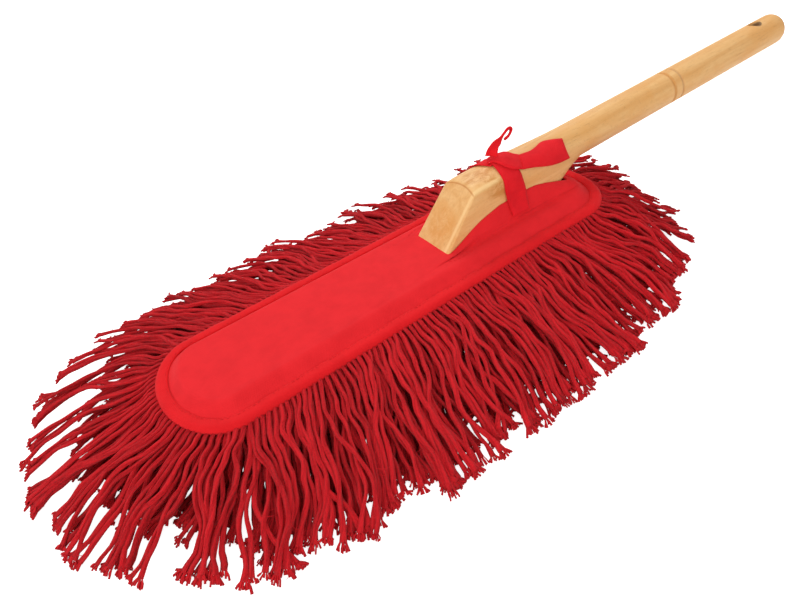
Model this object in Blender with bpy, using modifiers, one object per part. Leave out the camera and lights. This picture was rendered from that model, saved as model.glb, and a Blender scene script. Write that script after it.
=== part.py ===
"""Car duster: a one-piece wooden handle screwed to a board inside a slip-on cotton mop head.

Units are metres and +Z is up. +X runs from the mop towards the handle's end, the floor is z = 0,
and x = 0 is the middle of the overall length. The near side is -Y and the far side +Y.
"""
import math
import random

import bmesh
import bpy
from mathutils import Matrix, Vector

# Fits shared by all pieces
fit_gap = 0.0003
cut_overrun = 0.002

# Handle: one length of wood, flat-sided at the foot and turned from the heel to the end
handle_length = 0.384
foot_width = 0.031
foot_height = 0.036
foot_crown = 0.0052
foot_edge = 0.001
foot_base_length = 0.105
heel_length = 0.031
heel_blend = 0.018
crown_blend_start = 0.050
crown_blend_length = 0.072
chamfer_angle = math.radians(47.0)
chamfer_round = 0.003
neck_diameter = 0.0270
end_diameter = 0.0252
shaft_rise = math.radians(1.04)
dome_length = 0.0095
groove_place = 0.236
groove_spacing = 0.0095
groove_width = 0.0030
groove_depth = 0.0009
hang_hole_setback = 0.032
hang_hole_diameter = 0.009
hang_hole_mouth = 0.0112
hang_hole_turn = math.radians(5.0)
points_per_quarter = 7

# Steps round the cover: a quarter of an end, one long side, and the slit's half ends and corners
cap_steps = 7
side_steps = 14
edge_steps = 2
corner_steps = cap_steps - edge_steps

# Head board and its wood screws
board_height = 0.0360
board_thickness = 0.0064
board_inset = 0.0135
board_edge_round = 0.0012
screw_places = {"front": 0.030, "middle": 0.062, "rear": 0.094}
screw_shank_diameter = 0.0040
screw_head_diameter = 0.0080
screw_head_height = 0.0032
screw_length = 0.0254
screw_tip_length = 0.0045
recess_width = 0.0009
recess_length = 0.0042
recess_depth = 0.0015

# Cloth cover: top panel with a slit, backing panel, slit facing and edge binding
cover_length = 0.340
cover_front_width = 0.0950
cover_rear_width = 0.0865
cover_cap_length = 0.0335
foot_rear_margin = 0.036
cloth_thickness = 0.0012
facing_thickness = 0.0008
facing_width = 0.0065
rim_inset = 0.0006
slit_ease = 0.0018
slit_behind_heel = 0.0105
slit_corner_radius = 0.005
slit_turn = 0.0030
lip_height = 0.0150
lip_low = 0.0010
lip_knee_share = 0.3
lip_front_ramp = 0.050
lip_rear_ramp = 0.034
binding_width = 0.0062
binding_thickness = 0.0008

# Tie tapes
tape_width = 0.0150
tape_thickness = 0.0008
tie_place = 0.0640
tie_lean = 0.0075
tie_sewn_length = 0.0050
tie_wrap_share = 0.345
tie_wrap_steps = 8
tie_sections = 22
tail_sections = 7
tail_width_steps = 6
knot_length = 0.0190
knot_width = 0.0140
knot_height = 0.0075
knot_shift = 0.0130
long_tail_length = 0.0420
long_tail_lift = 0.0012
tail_turn_shares = (0.68, 1.06)
curled_tail_width = 0.0110
curled_tail_length = 0.0205
curled_tail_height = 0.0105
curled_tail_setback = 0.0080
curled_tail_tuck = 0.0009
curl_shares = ((0.0, 0.0), (0.06, 0.28), (0.28, 0.55), (0.62, 0.77), (0.92, 0.97),
               (0.99, 0.64), (0.83, 0.36), (0.66, 0.37), (0.48, 0.25))
tail_gap = 0.0006

# Yarn fringe: strands of cotton yarn, each row fused to a slice of its header tape
strand_width = 0.0045
strand_thickness = 0.0029
strand_wobble = 0.0005
floor_flat = 0.0005
end_slice_overlap = 0.004
fine_steps = 24
outline_steps = 720
front_lean = math.radians(33.0)
rear_lean = math.radians(28.0)
upright_place = 0.056
tip_trim_share = 0.14

upper_pitch = 0.0058
upper_header_width = 0.0055
upper_header_thickness = 0.0030
upper_front_reach = 0.090
upper_side_reach = 0.087
upper_rear_reach = 0.070

lower_pitch = 0.0070
lower_inset = 0.0140
lower_header_width = 0.0055
lower_header_thickness = 0.0030
lower_front_reach = 0.078
lower_side_reach = 0.074
lower_rear_reach = 0.062

under_pitch = 0.0092
under_place = 0.0180
under_header_width = 0.0060
under_header_thickness = 0.0030
under_end_inset = 0.030
under_reach = 0.044

# Heights and places that follow from the sizes above
foot_setback = cover_length - foot_rear_margin - foot_base_length
cover_front = -(foot_setback + handle_length - upper_front_reach) / 2
cover_middle = cover_front + cover_length / 2
foot_front = cover_front + foot_setback
board_top = board_height + board_thickness
foot_base = board_top + fit_gap
axis_height = foot_base + foot_height - neck_diameter / 2
facing_bottom = board_top + fit_gap
cover_bottom = facing_bottom + facing_thickness + fit_gap
cover_top_height = cover_bottom + cloth_thickness
backing_top = board_height - fit_gap
backing_bottom = backing_top - cloth_thickness
rim_height = board_height - fit_gap / 2


def material(name, colour, roughness, metallic=0.0):
    """A plain Principled material in the part's own colour."""
    finish = bpy.data.materials.new(name)
    finish.use_nodes = True
    shader = finish.node_tree.nodes["Principled BSDF"]
    shader.inputs["Base Color"].default_value = (*colour, 1.0)
    shader.inputs["Roughness"].default_value = roughness
    shader.inputs["Metallic"].default_value = metallic
    finish.diffuse_color = (*colour, 1.0)
    return finish


def add_object(name, mesh, finish, collection):
    piece = bpy.data.objects.new(name, mesh)
    piece.data.materials.append(finish)
    collection.objects.link(piece)
    return piece


def finish_mesh(name, work):
    """Turn a bmesh into a named mesh with its faces pointing out."""
    bmesh.ops.recalc_face_normals(work, faces=work.faces)
    mesh = bpy.data.meshes.new(name)
    work.to_mesh(mesh)
    work.free()
    return mesh


def shade_round(mesh, angle=math.radians(35.0)):
    mesh.shade_smooth()
    mesh.set_sharp_from_angle(angle=angle)


def skin(rings, closed_along=False, cap_ends=True):
    """Join rings of equal point counts into one closed surface."""
    work = bmesh.new()
    grid = [[work.verts.new(point) for point in ring] for ring in rings]
    count = len(grid[0])
    last = len(grid) if closed_along else len(grid) - 1
    for row in range(last):
        here = grid[row]
        there = grid[(row + 1) % len(grid)]
        for column in range(count):
            following = (column + 1) % count
            work.faces.new((here[column], here[following], there[following], there[column]))
    if cap_ends and not closed_along:
        work.faces.new(grid[0])
        work.faces.new(list(reversed(grid[-1])))
    return work


def resample(points, count, closed):
    """Evenly spaced points along a polyline."""
    path = list(points) + ([points[0]] if closed else [])
    lengths = [0.0]
    for before, after in zip(path, path[1:]):
        lengths.append(lengths[-1] + (after - before).length)
    spaces = count if closed else count - 1
    result = []
    span = 0
    for index in range(count):
        wanted = lengths[-1] * index / spaces
        while span < len(lengths) - 2 and lengths[span + 1] < wanted:
            span += 1
        share = (wanted - lengths[span]) / max(lengths[span + 1] - lengths[span], fit_gap * 1e-6)
        result.append(path[span].lerp(path[span + 1], min(max(share, 0.0), 1.0)))
    return result


def smooth_line(points, steps):
    """A Catmull-Rom curve through the points."""
    padded = [points[0] * 2 - points[1], *points, points[-1] * 2 - points[-2]]
    curve = []
    for a, b, c, d in zip(padded, padded[1:], padded[2:], padded[3:]):
        for step in range(steps):
            t = step / steps
            curve.append(0.5 * (2 * b + (c - a) * t + (2 * a - 5 * b + 4 * c - d) * t ** 2
                                + (3 * b - a - 3 * c + d) * t ** 3))
    curve.append(points[-1])
    return curve


def ease(value, start, length):
    """Smooth step from 0 at start to 1 at start + length."""
    share = min(max((value - start) / length, 0.0), 1.0)
    return share * share * (3.0 - 2.0 * share)


# The cover's outline and what follows it

def half_width(x):
    """Half of the cover's width, which narrows evenly from front to rear."""
    share = (x - cover_front) / cover_length
    return (cover_front_width + (cover_rear_width - cover_front_width) * share) / 2


def oval(inset, caps=cap_steps, sides=side_steps):
    """The cover's outline, moved in by inset: nearly straight sides and half-ellipse ends.

    It starts at the front tip and runs by the near side, the rear tip and the far side."""
    front_corner = cover_front + cover_cap_length
    straight = cover_length - 2 * cover_cap_length
    along = cover_cap_length - inset
    places = [(front_corner - along * math.cos(math.pi / 2 * step / caps),
               math.sin(math.pi / 2 * step / caps)) for step in range(caps)]
    places += [(front_corner + straight * step / sides, 1.0) for step in range(sides)]
    places += [(front_corner + straight + along * math.sin(math.pi / 2 * step / caps),
                math.cos(math.pi / 2 * step / caps)) for step in range(caps + 1)]
    half = [Vector((x, (inset - half_width(x)) * share)) for x, share in places]
    half[-1].y = 0.0
    mirrored = [Vector((point.x, -point.y)) for point in reversed(half[1:-1])]
    return half + mirrored


def slit_path(out):
    """The slit round the handle's foot, a rounded rectangle with as many points as the outline."""
    front = foot_front - slit_ease - out
    rear = foot_front + foot_base_length + slit_behind_heel + out
    side = foot_width / 2 + slit_ease + out
    radius = slit_corner_radius + out
    flat = side - radius
    half = [Vector((front, -flat * step / edge_steps)) for step in range(edge_steps)]
    for step in range(corner_steps):
        turn = math.pi / 2 * step / corner_steps
        half.append(Vector((front + radius - radius * math.cos(turn),
                            -flat - radius * math.sin(turn))))
    length = rear - front - 2 * radius
    half += [Vector((front + radius + length * step / side_steps, -side))
             for step in range(side_steps)]
    for step in range(corner_steps):
        turn = math.pi / 2 * step / corner_steps
        half.append(Vector((rear - radius + radius * math.sin(turn),
                            -flat - radius * math.cos(turn))))
    half += [Vector((rear, -flat * (1.0 - step / edge_steps))) for step in range(edge_steps + 1)]
    mirrored = [Vector((point.x, -point.y)) for point in reversed(half[1:-1])]
    return half + mirrored


def lip_rise(x):
    """How far the slit's edge stands up the wood: it ramps up to the ties and down to the heel."""
    rear = foot_front + foot_base_length + slit_behind_heel
    share = min((x - foot_front) / lip_front_ramp, (rear - x) / lip_rear_ramp, 1.0)
    return lip_low + (lip_height - lip_low) * max(share, 0.0)


def side_share(inset):
    """0 at the board's edge and 1 at the rim, for heights on the cover's sloping border."""
    return (board_inset - inset) / (board_inset - rim_inset)


def border_height(inset, flat, rim):
    return flat + (rim - flat) * min(max(side_share(inset), 0.0), 1.0)


def top_cloth_height(inset):
    return border_height(inset, cover_top_height, rim_height + fit_gap / 2 + cloth_thickness)


# The handle's sections

def handle_radius(place):
    """Radius of the turned shaft, which tapers from the neck to the end."""
    share = place / handle_length
    return (neck_diameter + (end_diameter - neck_diameter) * share) / 2


def handle_section(place, shrink=0.0, radius_scale=1.0):
    """Section of the handle at a distance from the foot's front: four quarter ellipses.

    It returns the axis height, half width, top, bottom and the corners' half axes."""
    radius = handle_radius(place) * radius_scale - shrink
    axis = axis_height + place * math.tan(shaft_rise)
    crown = ease(place, crown_blend_start, crown_blend_length)
    heel = min(max((place - foot_base_length) / heel_length, 0.0), 1.0)
    blend = ease(place, foot_base_length - heel_blend, heel_length + heel_blend)
    side = (foot_width / 2 - shrink) * (1 - blend) + radius * blend
    top = axis + radius
    low_foot = foot_base + shrink
    bottom = low_foot + (axis - radius - low_foot) * heel
    top_high = foot_crown * (1 - crown) + radius * crown
    low_wide = foot_edge * (1 - blend) + side * blend
    low_high = foot_edge * (1 - blend) + (top - bottom - top_high) * blend
    return axis, side, top, bottom, top_high, low_wide, low_high


def section_ring(place, shrink=0.0, radius_scale=1.0, lean=False):
    """Points round one section, from the far side over the top, down the near side and back."""
    axis, side, top, bottom, top_high, low_wide, low_high = handle_section(place, shrink, radius_scale)
    corners = ((side, top_high, 1, 1, 0.0), (side, top_high, -1, 1, 0.5),
               (low_wide, low_high, -1, -1, 1.0), (low_wide, low_high, 1, -1, 1.5))
    ring = []
    for wide, high, y_sign, z_sign, start in corners:
        for step in range(points_per_quarter):
            turn = math.pi * (start + 0.5 * (step + 0.5) / points_per_quarter)
            y = y_sign * (side - wide) + wide * math.cos(turn)
            centre = top - high if z_sign > 0 else bottom + high
            z = centre + high * math.sin(turn)
            x = foot_front + place
            if lean:
                x += (z - foot_base) / math.tan(chamfer_angle)
            ring.append(Vector((x, y, z)))
    return ring


def over_wood(place, turn, out):
    """A point that lies out from the handle's surface; turn is 0 at the far side, pi at the near.

    Past pi it runs on down the near side."""
    axis, side, top, bottom, top_high, low_wide, low_high = handle_section(place)
    below = max(turn - math.pi, 0.0) * side
    turn = min(turn, math.pi)
    y = side * math.cos(turn)
    z = top - top_high + top_high * math.sin(turn) - below
    normal = Vector((0.0, math.cos(turn) / side, math.sin(turn) / top_high)).normalized()
    return Vector((foot_front + place, y, z)) + normal * out


def make_handle(parts, cutters, finish):
    """Loft from the chamfered foot to the domed end, then the screws' and the hanging holes."""
    rings = [section_ring(0.0, chamfer_round, lean=True),
             section_ring(chamfer_round * 0.3, chamfer_round * 0.3, lean=True),
             section_ring(chamfer_round, lean=True)]
    chamfer_end = foot_height / math.tan(chamfer_angle) + chamfer_round
    body_start = chamfer_end + chamfer_round
    heel_end = foot_base_length + heel_length
    body = [body_start, crown_blend_start, (crown_blend_start + foot_base_length) / 2,
            foot_base_length - heel_blend, foot_base_length - heel_blend / 2, foot_base_length,
            foot_base_length + heel_length / 3, foot_base_length + heel_length * 2 / 3, heel_end,
            heel_end + heel_length, (heel_end + groove_place) / 2]
    rings += [section_ring(place) for place in body]
    for place in (groove_place, groove_place + groove_spacing):
        rings.append(section_ring(place - groove_width / 2))
        rings.append(section_ring(place - groove_width / 6, groove_depth))
        rings.append(section_ring(place + groove_width / 6, groove_depth))
        rings.append(section_ring(place + groove_width / 2))
    rings.append(section_ring(handle_length - hang_hole_setback * 2))
    dome_start = handle_length - dome_length
    for step in range(6):
        turn = math.pi / 2 * step / 6
        rings.append(section_ring(dome_start + dome_length * math.sin(turn),
                                  radius_scale=math.cos(turn)))
    work = skin(rings)
    handle = add_object("handle", finish_mesh("handle", work), finish, parts)
    shade_round(handle.data)
    hole_place = handle_length - hang_hole_setback
    radius = handle_radius(hole_place)
    hole_height = axis_height + hole_place * math.tan(shaft_rise)
    middle = Vector((foot_front + hole_place, 0.0, hole_height))
    turned = Matrix.Rotation(-hang_hole_turn, 4, "X") @ Matrix.Rotation(-shaft_rise, 4, "Y")
    reach = radius + cut_overrun
    flare = (hang_hole_mouth - hang_hole_diameter) / 2
    profile = [(0.0, reach), (hang_hole_mouth / 2 + cut_overrun, reach),
               (hang_hole_mouth / 2, radius), (hang_hole_diameter / 2, radius - flare),
               (hang_hole_diameter / 2, flare - radius), (hang_hole_mouth / 2, -radius),
               (hang_hole_mouth / 2 + cut_overrun, -reach), (0.0, -reach)]
    hole = turned_solid("hang_hole_cutter", profile, 20, cutters, None)
    hole.matrix_world = Matrix.Translation(middle) @ turned
    cut(handle, hole)
    for name, place in screw_places.items():
        bore = cylinder_cutter("pilot_" + name, screw_shank_diameter / 2 + fit_gap,
                               foot_base - cut_overrun,
                               board_height + screw_length + fit_gap, place, cutters)
        cut(handle, bore)
    return handle


def turned_solid(name, profile, steps, collection, finish):
    """A profile of (radius, height) points, top to bottom, spun about Z by a Screw modifier."""
    work = bmesh.new()
    points = [work.verts.new((radius, 0.0, height)) for radius, height in profile]
    for before, after in zip(points, points[1:]):
        work.edges.new((before, after))
    mesh = bpy.data.meshes.new(name)
    work.to_mesh(mesh)
    work.free()
    piece = bpy.data.objects.new(name, mesh)
    collection.objects.link(piece)
    if finish:
        mesh.materials.append(finish)
    else:
        hide_guide(piece)
    spin = piece.modifiers.new("spin", "SCREW")
    spin.steps = steps
    spin.render_steps = steps
    spin.use_merge_vertices = True
    spin.merge_threshold = fit_gap / 30
    return piece


def cylinder_cutter(name, radius, low, high, place, cutters):
    profile = [(0.0, high), (radius, high), (radius, low), (0.0, low)]
    piece = turned_solid(name, profile, 16, cutters, None)
    piece.location = (foot_front + place, 0.0, 0.0)
    return piece


def hide_guide(piece):
    piece.hide_render = True
    piece.display_type = "WIRE"


def cut(piece, cutter):
    boolean = piece.modifiers.new("cut " + cutter.name, "BOOLEAN")
    boolean.operation = "DIFFERENCE"
    boolean.object = cutter


def make_board(parts, cutters, finish):
    """The hidden board: the cover's outline moved in, with countersunk holes for the screws."""
    rows = [(board_height, board_edge_round), (board_height + board_edge_round, 0.0),
            (board_top - board_edge_round, 0.0), (board_top, board_edge_round)]
    rings = []
    for height, tuck in rows:
        rings.append(ring_at(oval(board_inset + tuck), height))
    board = add_object("head_board", finish_mesh("head_board", skin(rings)), finish, parts)
    for name, place in screw_places.items():
        head = screw_head_diameter / 2 + fit_gap
        shank = screw_shank_diameter / 2 + fit_gap
        profile = [(0.0, board_top + cut_overrun), (shank, board_top + cut_overrun),
                   (shank, board_height + screw_head_height + fit_gap),
                   (head, board_height + fit_gap), (head, board_height - cut_overrun),
                   (0.0, board_height - cut_overrun)]
        sink = turned_solid("countersink_" + name, profile, 16, cutters, None)
        sink.location = (foot_front + place, 0.0, 0.0)
        cut(board, sink)
    return board


def make_screws(parts, cutters, finish):
    """Countersunk wood screws driven up through the board into the foot."""
    for name, place in screw_places.items():
        shank = screw_shank_diameter / 2
        head = screw_head_diameter / 2
        top = board_height + screw_length
        profile = [(0.0, top), (shank, top - screw_tip_length),
                   (shank, board_height + screw_head_height), (head, board_height + fit_gap),
                   (head, board_height), (0.0, board_height)]
        screw = turned_solid("board_screw_" + name, profile, 16, parts, finish)
        screw.location = (foot_front + place, 0.0, 0.0)
        for label, along, across in (("slot_x", recess_length, recess_width),
                                     ("slot_y", recess_width, recess_length)):
            bpy.ops.mesh.primitive_cube_add(size=1.0)
            recess = bpy.context.object
            recess.name = label + "_" + name
            recess.scale = (along, across, recess_depth * 2)
            recess.location = (foot_front + place, 0.0, board_height)
            for holder in recess.users_collection:
                holder.objects.unlink(recess)
            cutters.objects.link(recess)
            hide_guide(recess)
            cut(screw, recess)


def ring_at(points, height):
    return [Vector((point.x, point.y, height)) for point in points]


def sheet(name, rings, cap_first, thickness, finish, parts):
    """An open surface through the rings, given its thickness by Solidify below its faces."""
    work = skin(rings, cap_ends=False)
    if cap_first:
        work.verts.ensure_lookup_table()
        work.faces.new([work.verts[index] for index in range(len(rings[0]))])
    bmesh.ops.recalc_face_normals(work, faces=work.faces)
    work.faces.ensure_lookup_table()
    tallest = max(work.faces, key=lambda face: abs(face.normal.z) * face.calc_area())
    wanted = 1.0 if thickness > 0 else -1.0
    if tallest.normal.z * wanted < 0:
        bmesh.ops.reverse_faces(work, faces=work.faces)
    mesh = bpy.data.meshes.new(name)
    work.to_mesh(mesh)
    work.free()
    mesh.shade_smooth()
    piece = add_object(name, mesh, finish, parts)
    solid = piece.modifiers.new("cloth", "SOLIDIFY")
    solid.thickness = abs(thickness)
    solid.offset = -1.0
    solid.use_even_offset = True
    return piece


def make_cover_top(parts, finish):
    """Top panel: raised lips round the slit, flat over the board, and a slope to the rim."""
    slit = slit_path(0.0)
    rings = [[Vector((point.x, point.y, cover_top_height + lip_rise(point.x))) for point in slit]]
    turned = slit_path(slit_turn * lip_knee_share)
    rings.append([Vector((point.x, point.y, cover_top_height + lip_rise(base.x) * lip_knee_share))
                  for point, base in zip(turned, slit)])
    inner = slit_path(slit_turn)
    outer = oval(board_inset)
    for share in (0.0, 0.5):
        rings.append([Vector((*a.lerp(b, share), cover_top_height)) for a, b in zip(inner, outer)])
    for share in (1.0, 0.5, 0.0):
        inset = rim_inset + (board_inset - rim_inset) * share
        rings.append(ring_at(oval(inset), top_cloth_height(inset)))
    return sheet("cover_top", rings, False, cloth_thickness, finish, parts)


def make_cover_backing(parts, finish):
    """Backing panel, flat under the board."""
    rings = []
    for inset in (board_inset, rim_inset):
        rings.append(ring_at(oval(inset), backing_bottom))
    return sheet("cover_backing", rings, True, -cloth_thickness, finish, parts)


def make_band(name, section, paths, finish, parts):
    """A closed ring whose section is given as (path index, height) corners."""
    count = len(paths[0])
    rings = []
    for column in range(count):
        rings.append([Vector((paths[path][column].x, paths[path][column].y, height))
                      for path, height in section])
    work = skin(rings, closed_along=True)
    piece = add_object(name, finish_mesh(name, work), finish, parts)
    piece.data.shade_smooth()
    return piece


def make_slit_facing(parts, finish):
    """Facing strip sewn under the slit's edge."""
    inner = slit_path(fit_gap)
    outer = slit_path(facing_width)
    top = facing_bottom + facing_thickness
    section = ((0, facing_bottom), (1, facing_bottom), (1, top), (0, top))
    return make_band("slit_facing", section, (inner, outer), finish, parts)


def make_binding(parts, finish):
    """Folded binding round the rim: a C-shaped section over the cover and under the backing."""
    fold = binding_thickness
    insets = (binding_width, rim_inset, rim_inset - fit_gap, rim_inset - fit_gap - fold)
    paths = [oval(inset) for inset in insets]
    top_in = top_cloth_height(binding_width) + fit_gap
    top_out = top_cloth_height(rim_inset) + fit_gap
    low = backing_bottom - fit_gap
    section = ((0, top_in), (0, top_in + fold), (1, top_out + fold), (3, top_out - fold / 2),
               (3, low + fold / 2), (1, low - fold), (0, low - fold), (0, low),
               (2, low), (2, top_out - fold / 2), (1, top_out))
    return make_band("edge_binding", section, paths, finish, parts)


# Tie tapes

def tape(name, centres, across, width, finish, parts, thickness=tape_thickness):
    """A flat tape along its centre line; across gives its width direction at each point."""
    rings = []
    for index, centre in enumerate(centres):
        before = centres[max(index - 1, 0)]
        after = centres[min(index + 1, len(centres) - 1)]
        along = (after - before).normalized()
        wide = (across[index] - along * across[index].dot(along)).normalized()
        thick = along.cross(wide) * (thickness / 2)
        side = wide * (width / 2)
        rings.append([centre + side + thick, centre - side + thick,
                      centre - side - thick, centre + side - thick])
    piece = add_object(name, finish_mesh(name, skin(rings)), finish, parts)
    return piece


def make_leg(name, sign, finish, parts):
    """One tie from where it is sewn on the cover, over the slit's lip and up to the knot."""
    half = fit_gap + tape_thickness / 2
    low = cover_top_height + half
    lip_side = foot_width / 2 + slit_ease
    knee_side = lip_side + slit_turn * lip_knee_share
    knee_height = cover_top_height + lip_height * lip_knee_share
    turn_out = lip_side + slit_turn + 2 * half
    bends = [(turn_out + tie_sewn_length, low), (turn_out, low),
             (knee_side + 2 * half, knee_height + half),
             (lip_side + 2 * half, cover_top_height + lip_height)]
    points = [Vector((0.0, sign * y, z)) for y, z in bends]
    for step in range(tie_wrap_steps + 1):
        turn = math.pi * tie_wrap_share * step / tie_wrap_steps
        points.append(over_wood(tie_place, turn if sign > 0 else math.pi - turn, 2 * half))
    top = max(point.z for point in points)
    for point in points:
        point.x = foot_front + tie_place - tie_lean * (point.z - low) / (top - low)
    centres = resample(points, tie_sections, False)
    across = [Vector((1.0, 0.0, 0.0))] * tie_sections
    return tape(name, centres, across, tape_width, finish, parts)


def knot_middle():
    place = tie_place - tie_lean + knot_shift
    axis, side, top = handle_section(place + knot_length / 2)[:3]
    return Vector((foot_front + place, 0.0, top + fit_gap + knot_height / 2))


def make_knot(parts, finish):
    """The knot on top of the neck: a pinched lump of tape, from a box cage with subdivision."""
    middle = knot_middle()
    work = bmesh.new()
    bmesh.ops.create_cube(work, size=1.0)
    bmesh.ops.subdivide_edges(work, edges=work.edges, cuts=2, use_grid_fill=True)
    for vert in work.verts:
        inner = abs(vert.co.x) < 0.4
        vert.co.y *= 0.80 if inner else 1.0
        vert.co.z *= 1.0 if inner else 0.84
        vert.co.x *= knot_length
        vert.co.y *= knot_width
        vert.co.z = vert.co.z * knot_height
    for vert in work.verts:
        vert.co.z -= vert.co.x * math.tan(-shaft_rise)
        vert.co += middle
    knot = add_object("tie_knot", finish_mesh("tie_knot", work), finish, parts)
    knot.data.shade_smooth()
    soft = knot.modifiers.new("soft", "SUBSURF")
    soft.levels = 1
    soft.render_levels = 1
    return knot


def make_long_tail(parts, finish):
    """The tie's long free end, which lies back along the neck; it lifts about the knot's rear."""
    middle = knot_middle()
    start = tie_place - tie_lean + knot_shift + knot_length / 2 + tail_gap
    half = fit_gap + tape_thickness / 2
    rings = []
    for index in range(tail_sections):
        share = index / (tail_sections - 1)
        place = start + long_tail_length * share
        lift = half + long_tail_lift * math.sin(math.pi * share)
        near_turn = math.pi * (tail_turn_shares[0] * (1.0 - share) + tail_turn_shares[1] * share)
        far_turn = near_turn - tape_width / handle_radius(place)
        outer = []
        inner = []
        for step in range(tail_width_steps + 1):
            turn = near_turn + (far_turn - near_turn) * step / tail_width_steps
            outer.append(over_wood(place, turn, lift + tape_thickness / 2))
            inner.append(over_wood(place, turn, lift - tape_thickness / 2))
        rings.append(outer + list(reversed(inner)))
    tail = add_object("tie_long_tail", finish_mesh("tie_long_tail", skin(rings)), finish, parts)
    move_origin(tail, Vector((foot_front + start, 0.0, middle.z)))
    return tail


def move_origin(piece, point):
    """Put the object's origin on its hinge without moving the piece."""
    piece.data.transform(Matrix.Translation(-point))
    piece.location = point


def make_curled_tail(parts, finish):
    """The tie's short free end, which stands up from the knot and curls back on itself."""
    middle = knot_middle()
    base = Vector((middle.x - curled_tail_setback, 0.0,
                   middle.z + knot_height / 2 + tail_gap - curled_tail_tuck))
    points = [base + Vector((curled_tail_length * along, 0.0, curled_tail_height * up))
              for along, up in curl_shares]
    centres = smooth_line(points, 2)
    across = [Vector((0.0, 1.0, 0.0))] * len(centres)
    tail = tape("tie_curled_tail", centres, across, curled_tail_width, finish, parts)
    move_origin(tail, base)
    return tail


# Yarn fringe

def path_length(points):
    return sum((after - before).length for before, after in zip(points, points[1:]))


def cap_quarter(inset):
    """Length of the outline from the front tip to where the straight side starts."""
    return path_length(oval(inset, fine_steps, fine_steps)[:fine_steps + 1])


def slice_points(inset, start, end, count):
    """Evenly spaced points between two distances along the outline; the front tip is at 0."""
    fine = resample(oval(inset, fine_steps, fine_steps), outline_steps, True)
    around = path_length(fine + [fine[0]])
    result = []
    for index in range(count):
        distance = (start + (end - start) * index / (count - 1)) / around * outline_steps
        before = math.floor(distance)
        one = fine[before % outline_steps]
        two = fine[(before + 1) % outline_steps]
        result.append(one.lerp(two, distance - before))
    return result


def strand_lean(point, normal):
    """Angle from the outline's normal, for a root there: forwards at the front, then rearwards.

    On the ends it falls to nothing at the tip, so that the strands fan out evenly."""
    front_corner = cover_front + cover_cap_length
    rear_corner = cover_front + cover_length - cover_cap_length
    upright = foot_front + upright_place
    if point.x < upright:
        lean = -front_lean * min((upright - point.x) / (upright - front_corner), 1.0)
    else:
        lean = rear_lean * min((point.x - upright) / (rear_corner - upright), 1.0)
    lean *= 1.0 - math.acos(min(abs(normal.y), 1.0)) / (math.pi / 2)
    return lean if point.y < 0 else -lean


def grow_strands(work, header_top, header_low, roots, strands):
    """Draw each strand out of its root face, section by section."""
    for face, sections in zip(roots, strands):
        middle = face.calc_center_median()
        for place, side, half_wide, half_high in sections:
            corners = []
            for loop in face.loops:
                offset = loop.vert.co - middle
                corners.append((1.0 if offset.dot(side) > 0 else -1.0,
                                1.0 if offset.z > 0 else -1.0))
            face = bmesh.ops.extrude_discrete_faces(work, faces=[face])["faces"][0]
            for loop, (wide_sign, high_sign) in zip(face.loops, corners):
                spot = place + side * (half_wide * wide_sign)
                height = place.z + half_high * high_sign
                loop.vert.co = Vector((spot.x, spot.y, max(height, 0.0)))
            middle = face.calc_center_median()


def strand_sections(root, out, reach, root_height, shares, drops, wobble):
    """Centres and half sizes of a strand's sections; the last ones lie flat on the floor."""
    side = Vector((-out.y, out.x, 0.0))
    resting = strand_thickness / 2 - floor_flat
    sections = []
    for share, drop in zip(shares, drops):
        height = resting + (root_height - resting) * (1.0 - drop)
        place = Vector((root.x, root.y, height)) + out * (reach * share)
        place += side * wobble.uniform(-strand_wobble, strand_wobble)
        sections.append((place, side, strand_width / 2, strand_thickness / 2))
    return sections


def make_fringe(name, inset, width, top, thickness, start, end, pitch, reaches, shares, drops,
                seed, finish, parts):
    """One slice of a row: its header tape follows the outline and its strands grow outwards."""
    wobble = random.Random(seed)
    count = round((end - start) / pitch)
    outer = slice_points(inset, start, end, count + 1)
    inner = matching_inner(outer, inset + width, count // 3 + 2)
    work = bmesh.new()
    rim = [work.verts.new((point.x, point.y, top)) for point in outer]
    rim += [work.verts.new((point.x, point.y, top)) for point in reversed(inner)]
    face = work.faces.new(rim)
    pulled = bmesh.ops.extrude_face_region(work, geom=[face])["geom"]
    for item in pulled:
        if isinstance(item, bmesh.types.BMVert):
            item.co.z -= thickness
    roots = []
    strands = []
    for index in range(count):
        one = rim[index]
        two = rim[index + 1]
        edge = next(edge for edge in one.link_edges if edge.other_vert(one) is two)
        side_face = next(face for face in edge.link_faces if abs(face.calc_center_median().z - top)
                         < thickness and abs(normal_z(face)) < 0.5)
        roots.append(side_face)
        along = (outer[index + 1] - outer[index]).normalized()
        normal = Vector((along.y, -along.x, 0.0))
        root = (outer[index] + outer[index + 1]) / 2
        out = Matrix.Rotation(strand_lean(root, normal), 3, "Z") @ normal
        front, side_reach, rear = reaches
        limit = front if out.x < 0 else rear
        reach = side_reach + (limit - side_reach) * out.x ** 2
        middle_one = abs(index - (count - 1) / 2) < 1.0
        reach *= 1.0 if middle_one else 1.0 - tip_trim_share * wobble.random()
        root_height = top - thickness / 2
        strands.append(strand_sections(Vector((root.x, root.y, 0.0)), out, reach, root_height,
                                       shares, drops, wobble))
    grow_strands(work, top, top - thickness, roots, strands)
    piece = add_object(name, finish_mesh(name, work), finish, parts)
    return piece


def normal_z(face):
    face.normal_update()
    return face.normal.z


def matching_inner(outer, inset, count):
    """The header's inner edge: the points of the inset outline nearest to the outer ends."""
    path = resample(oval(inset, fine_steps, fine_steps), outline_steps, True)
    steps = range(outline_steps)
    first = min(steps, key=lambda index: (path[index] - outer[0]).length)
    last = min(steps, key=lambda index: (path[index] - outer[-1]).length)
    span = (last - first) % outline_steps
    return [path[(first + round(span * index / (count - 1))) % outline_steps]
            for index in range(count)]


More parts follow.
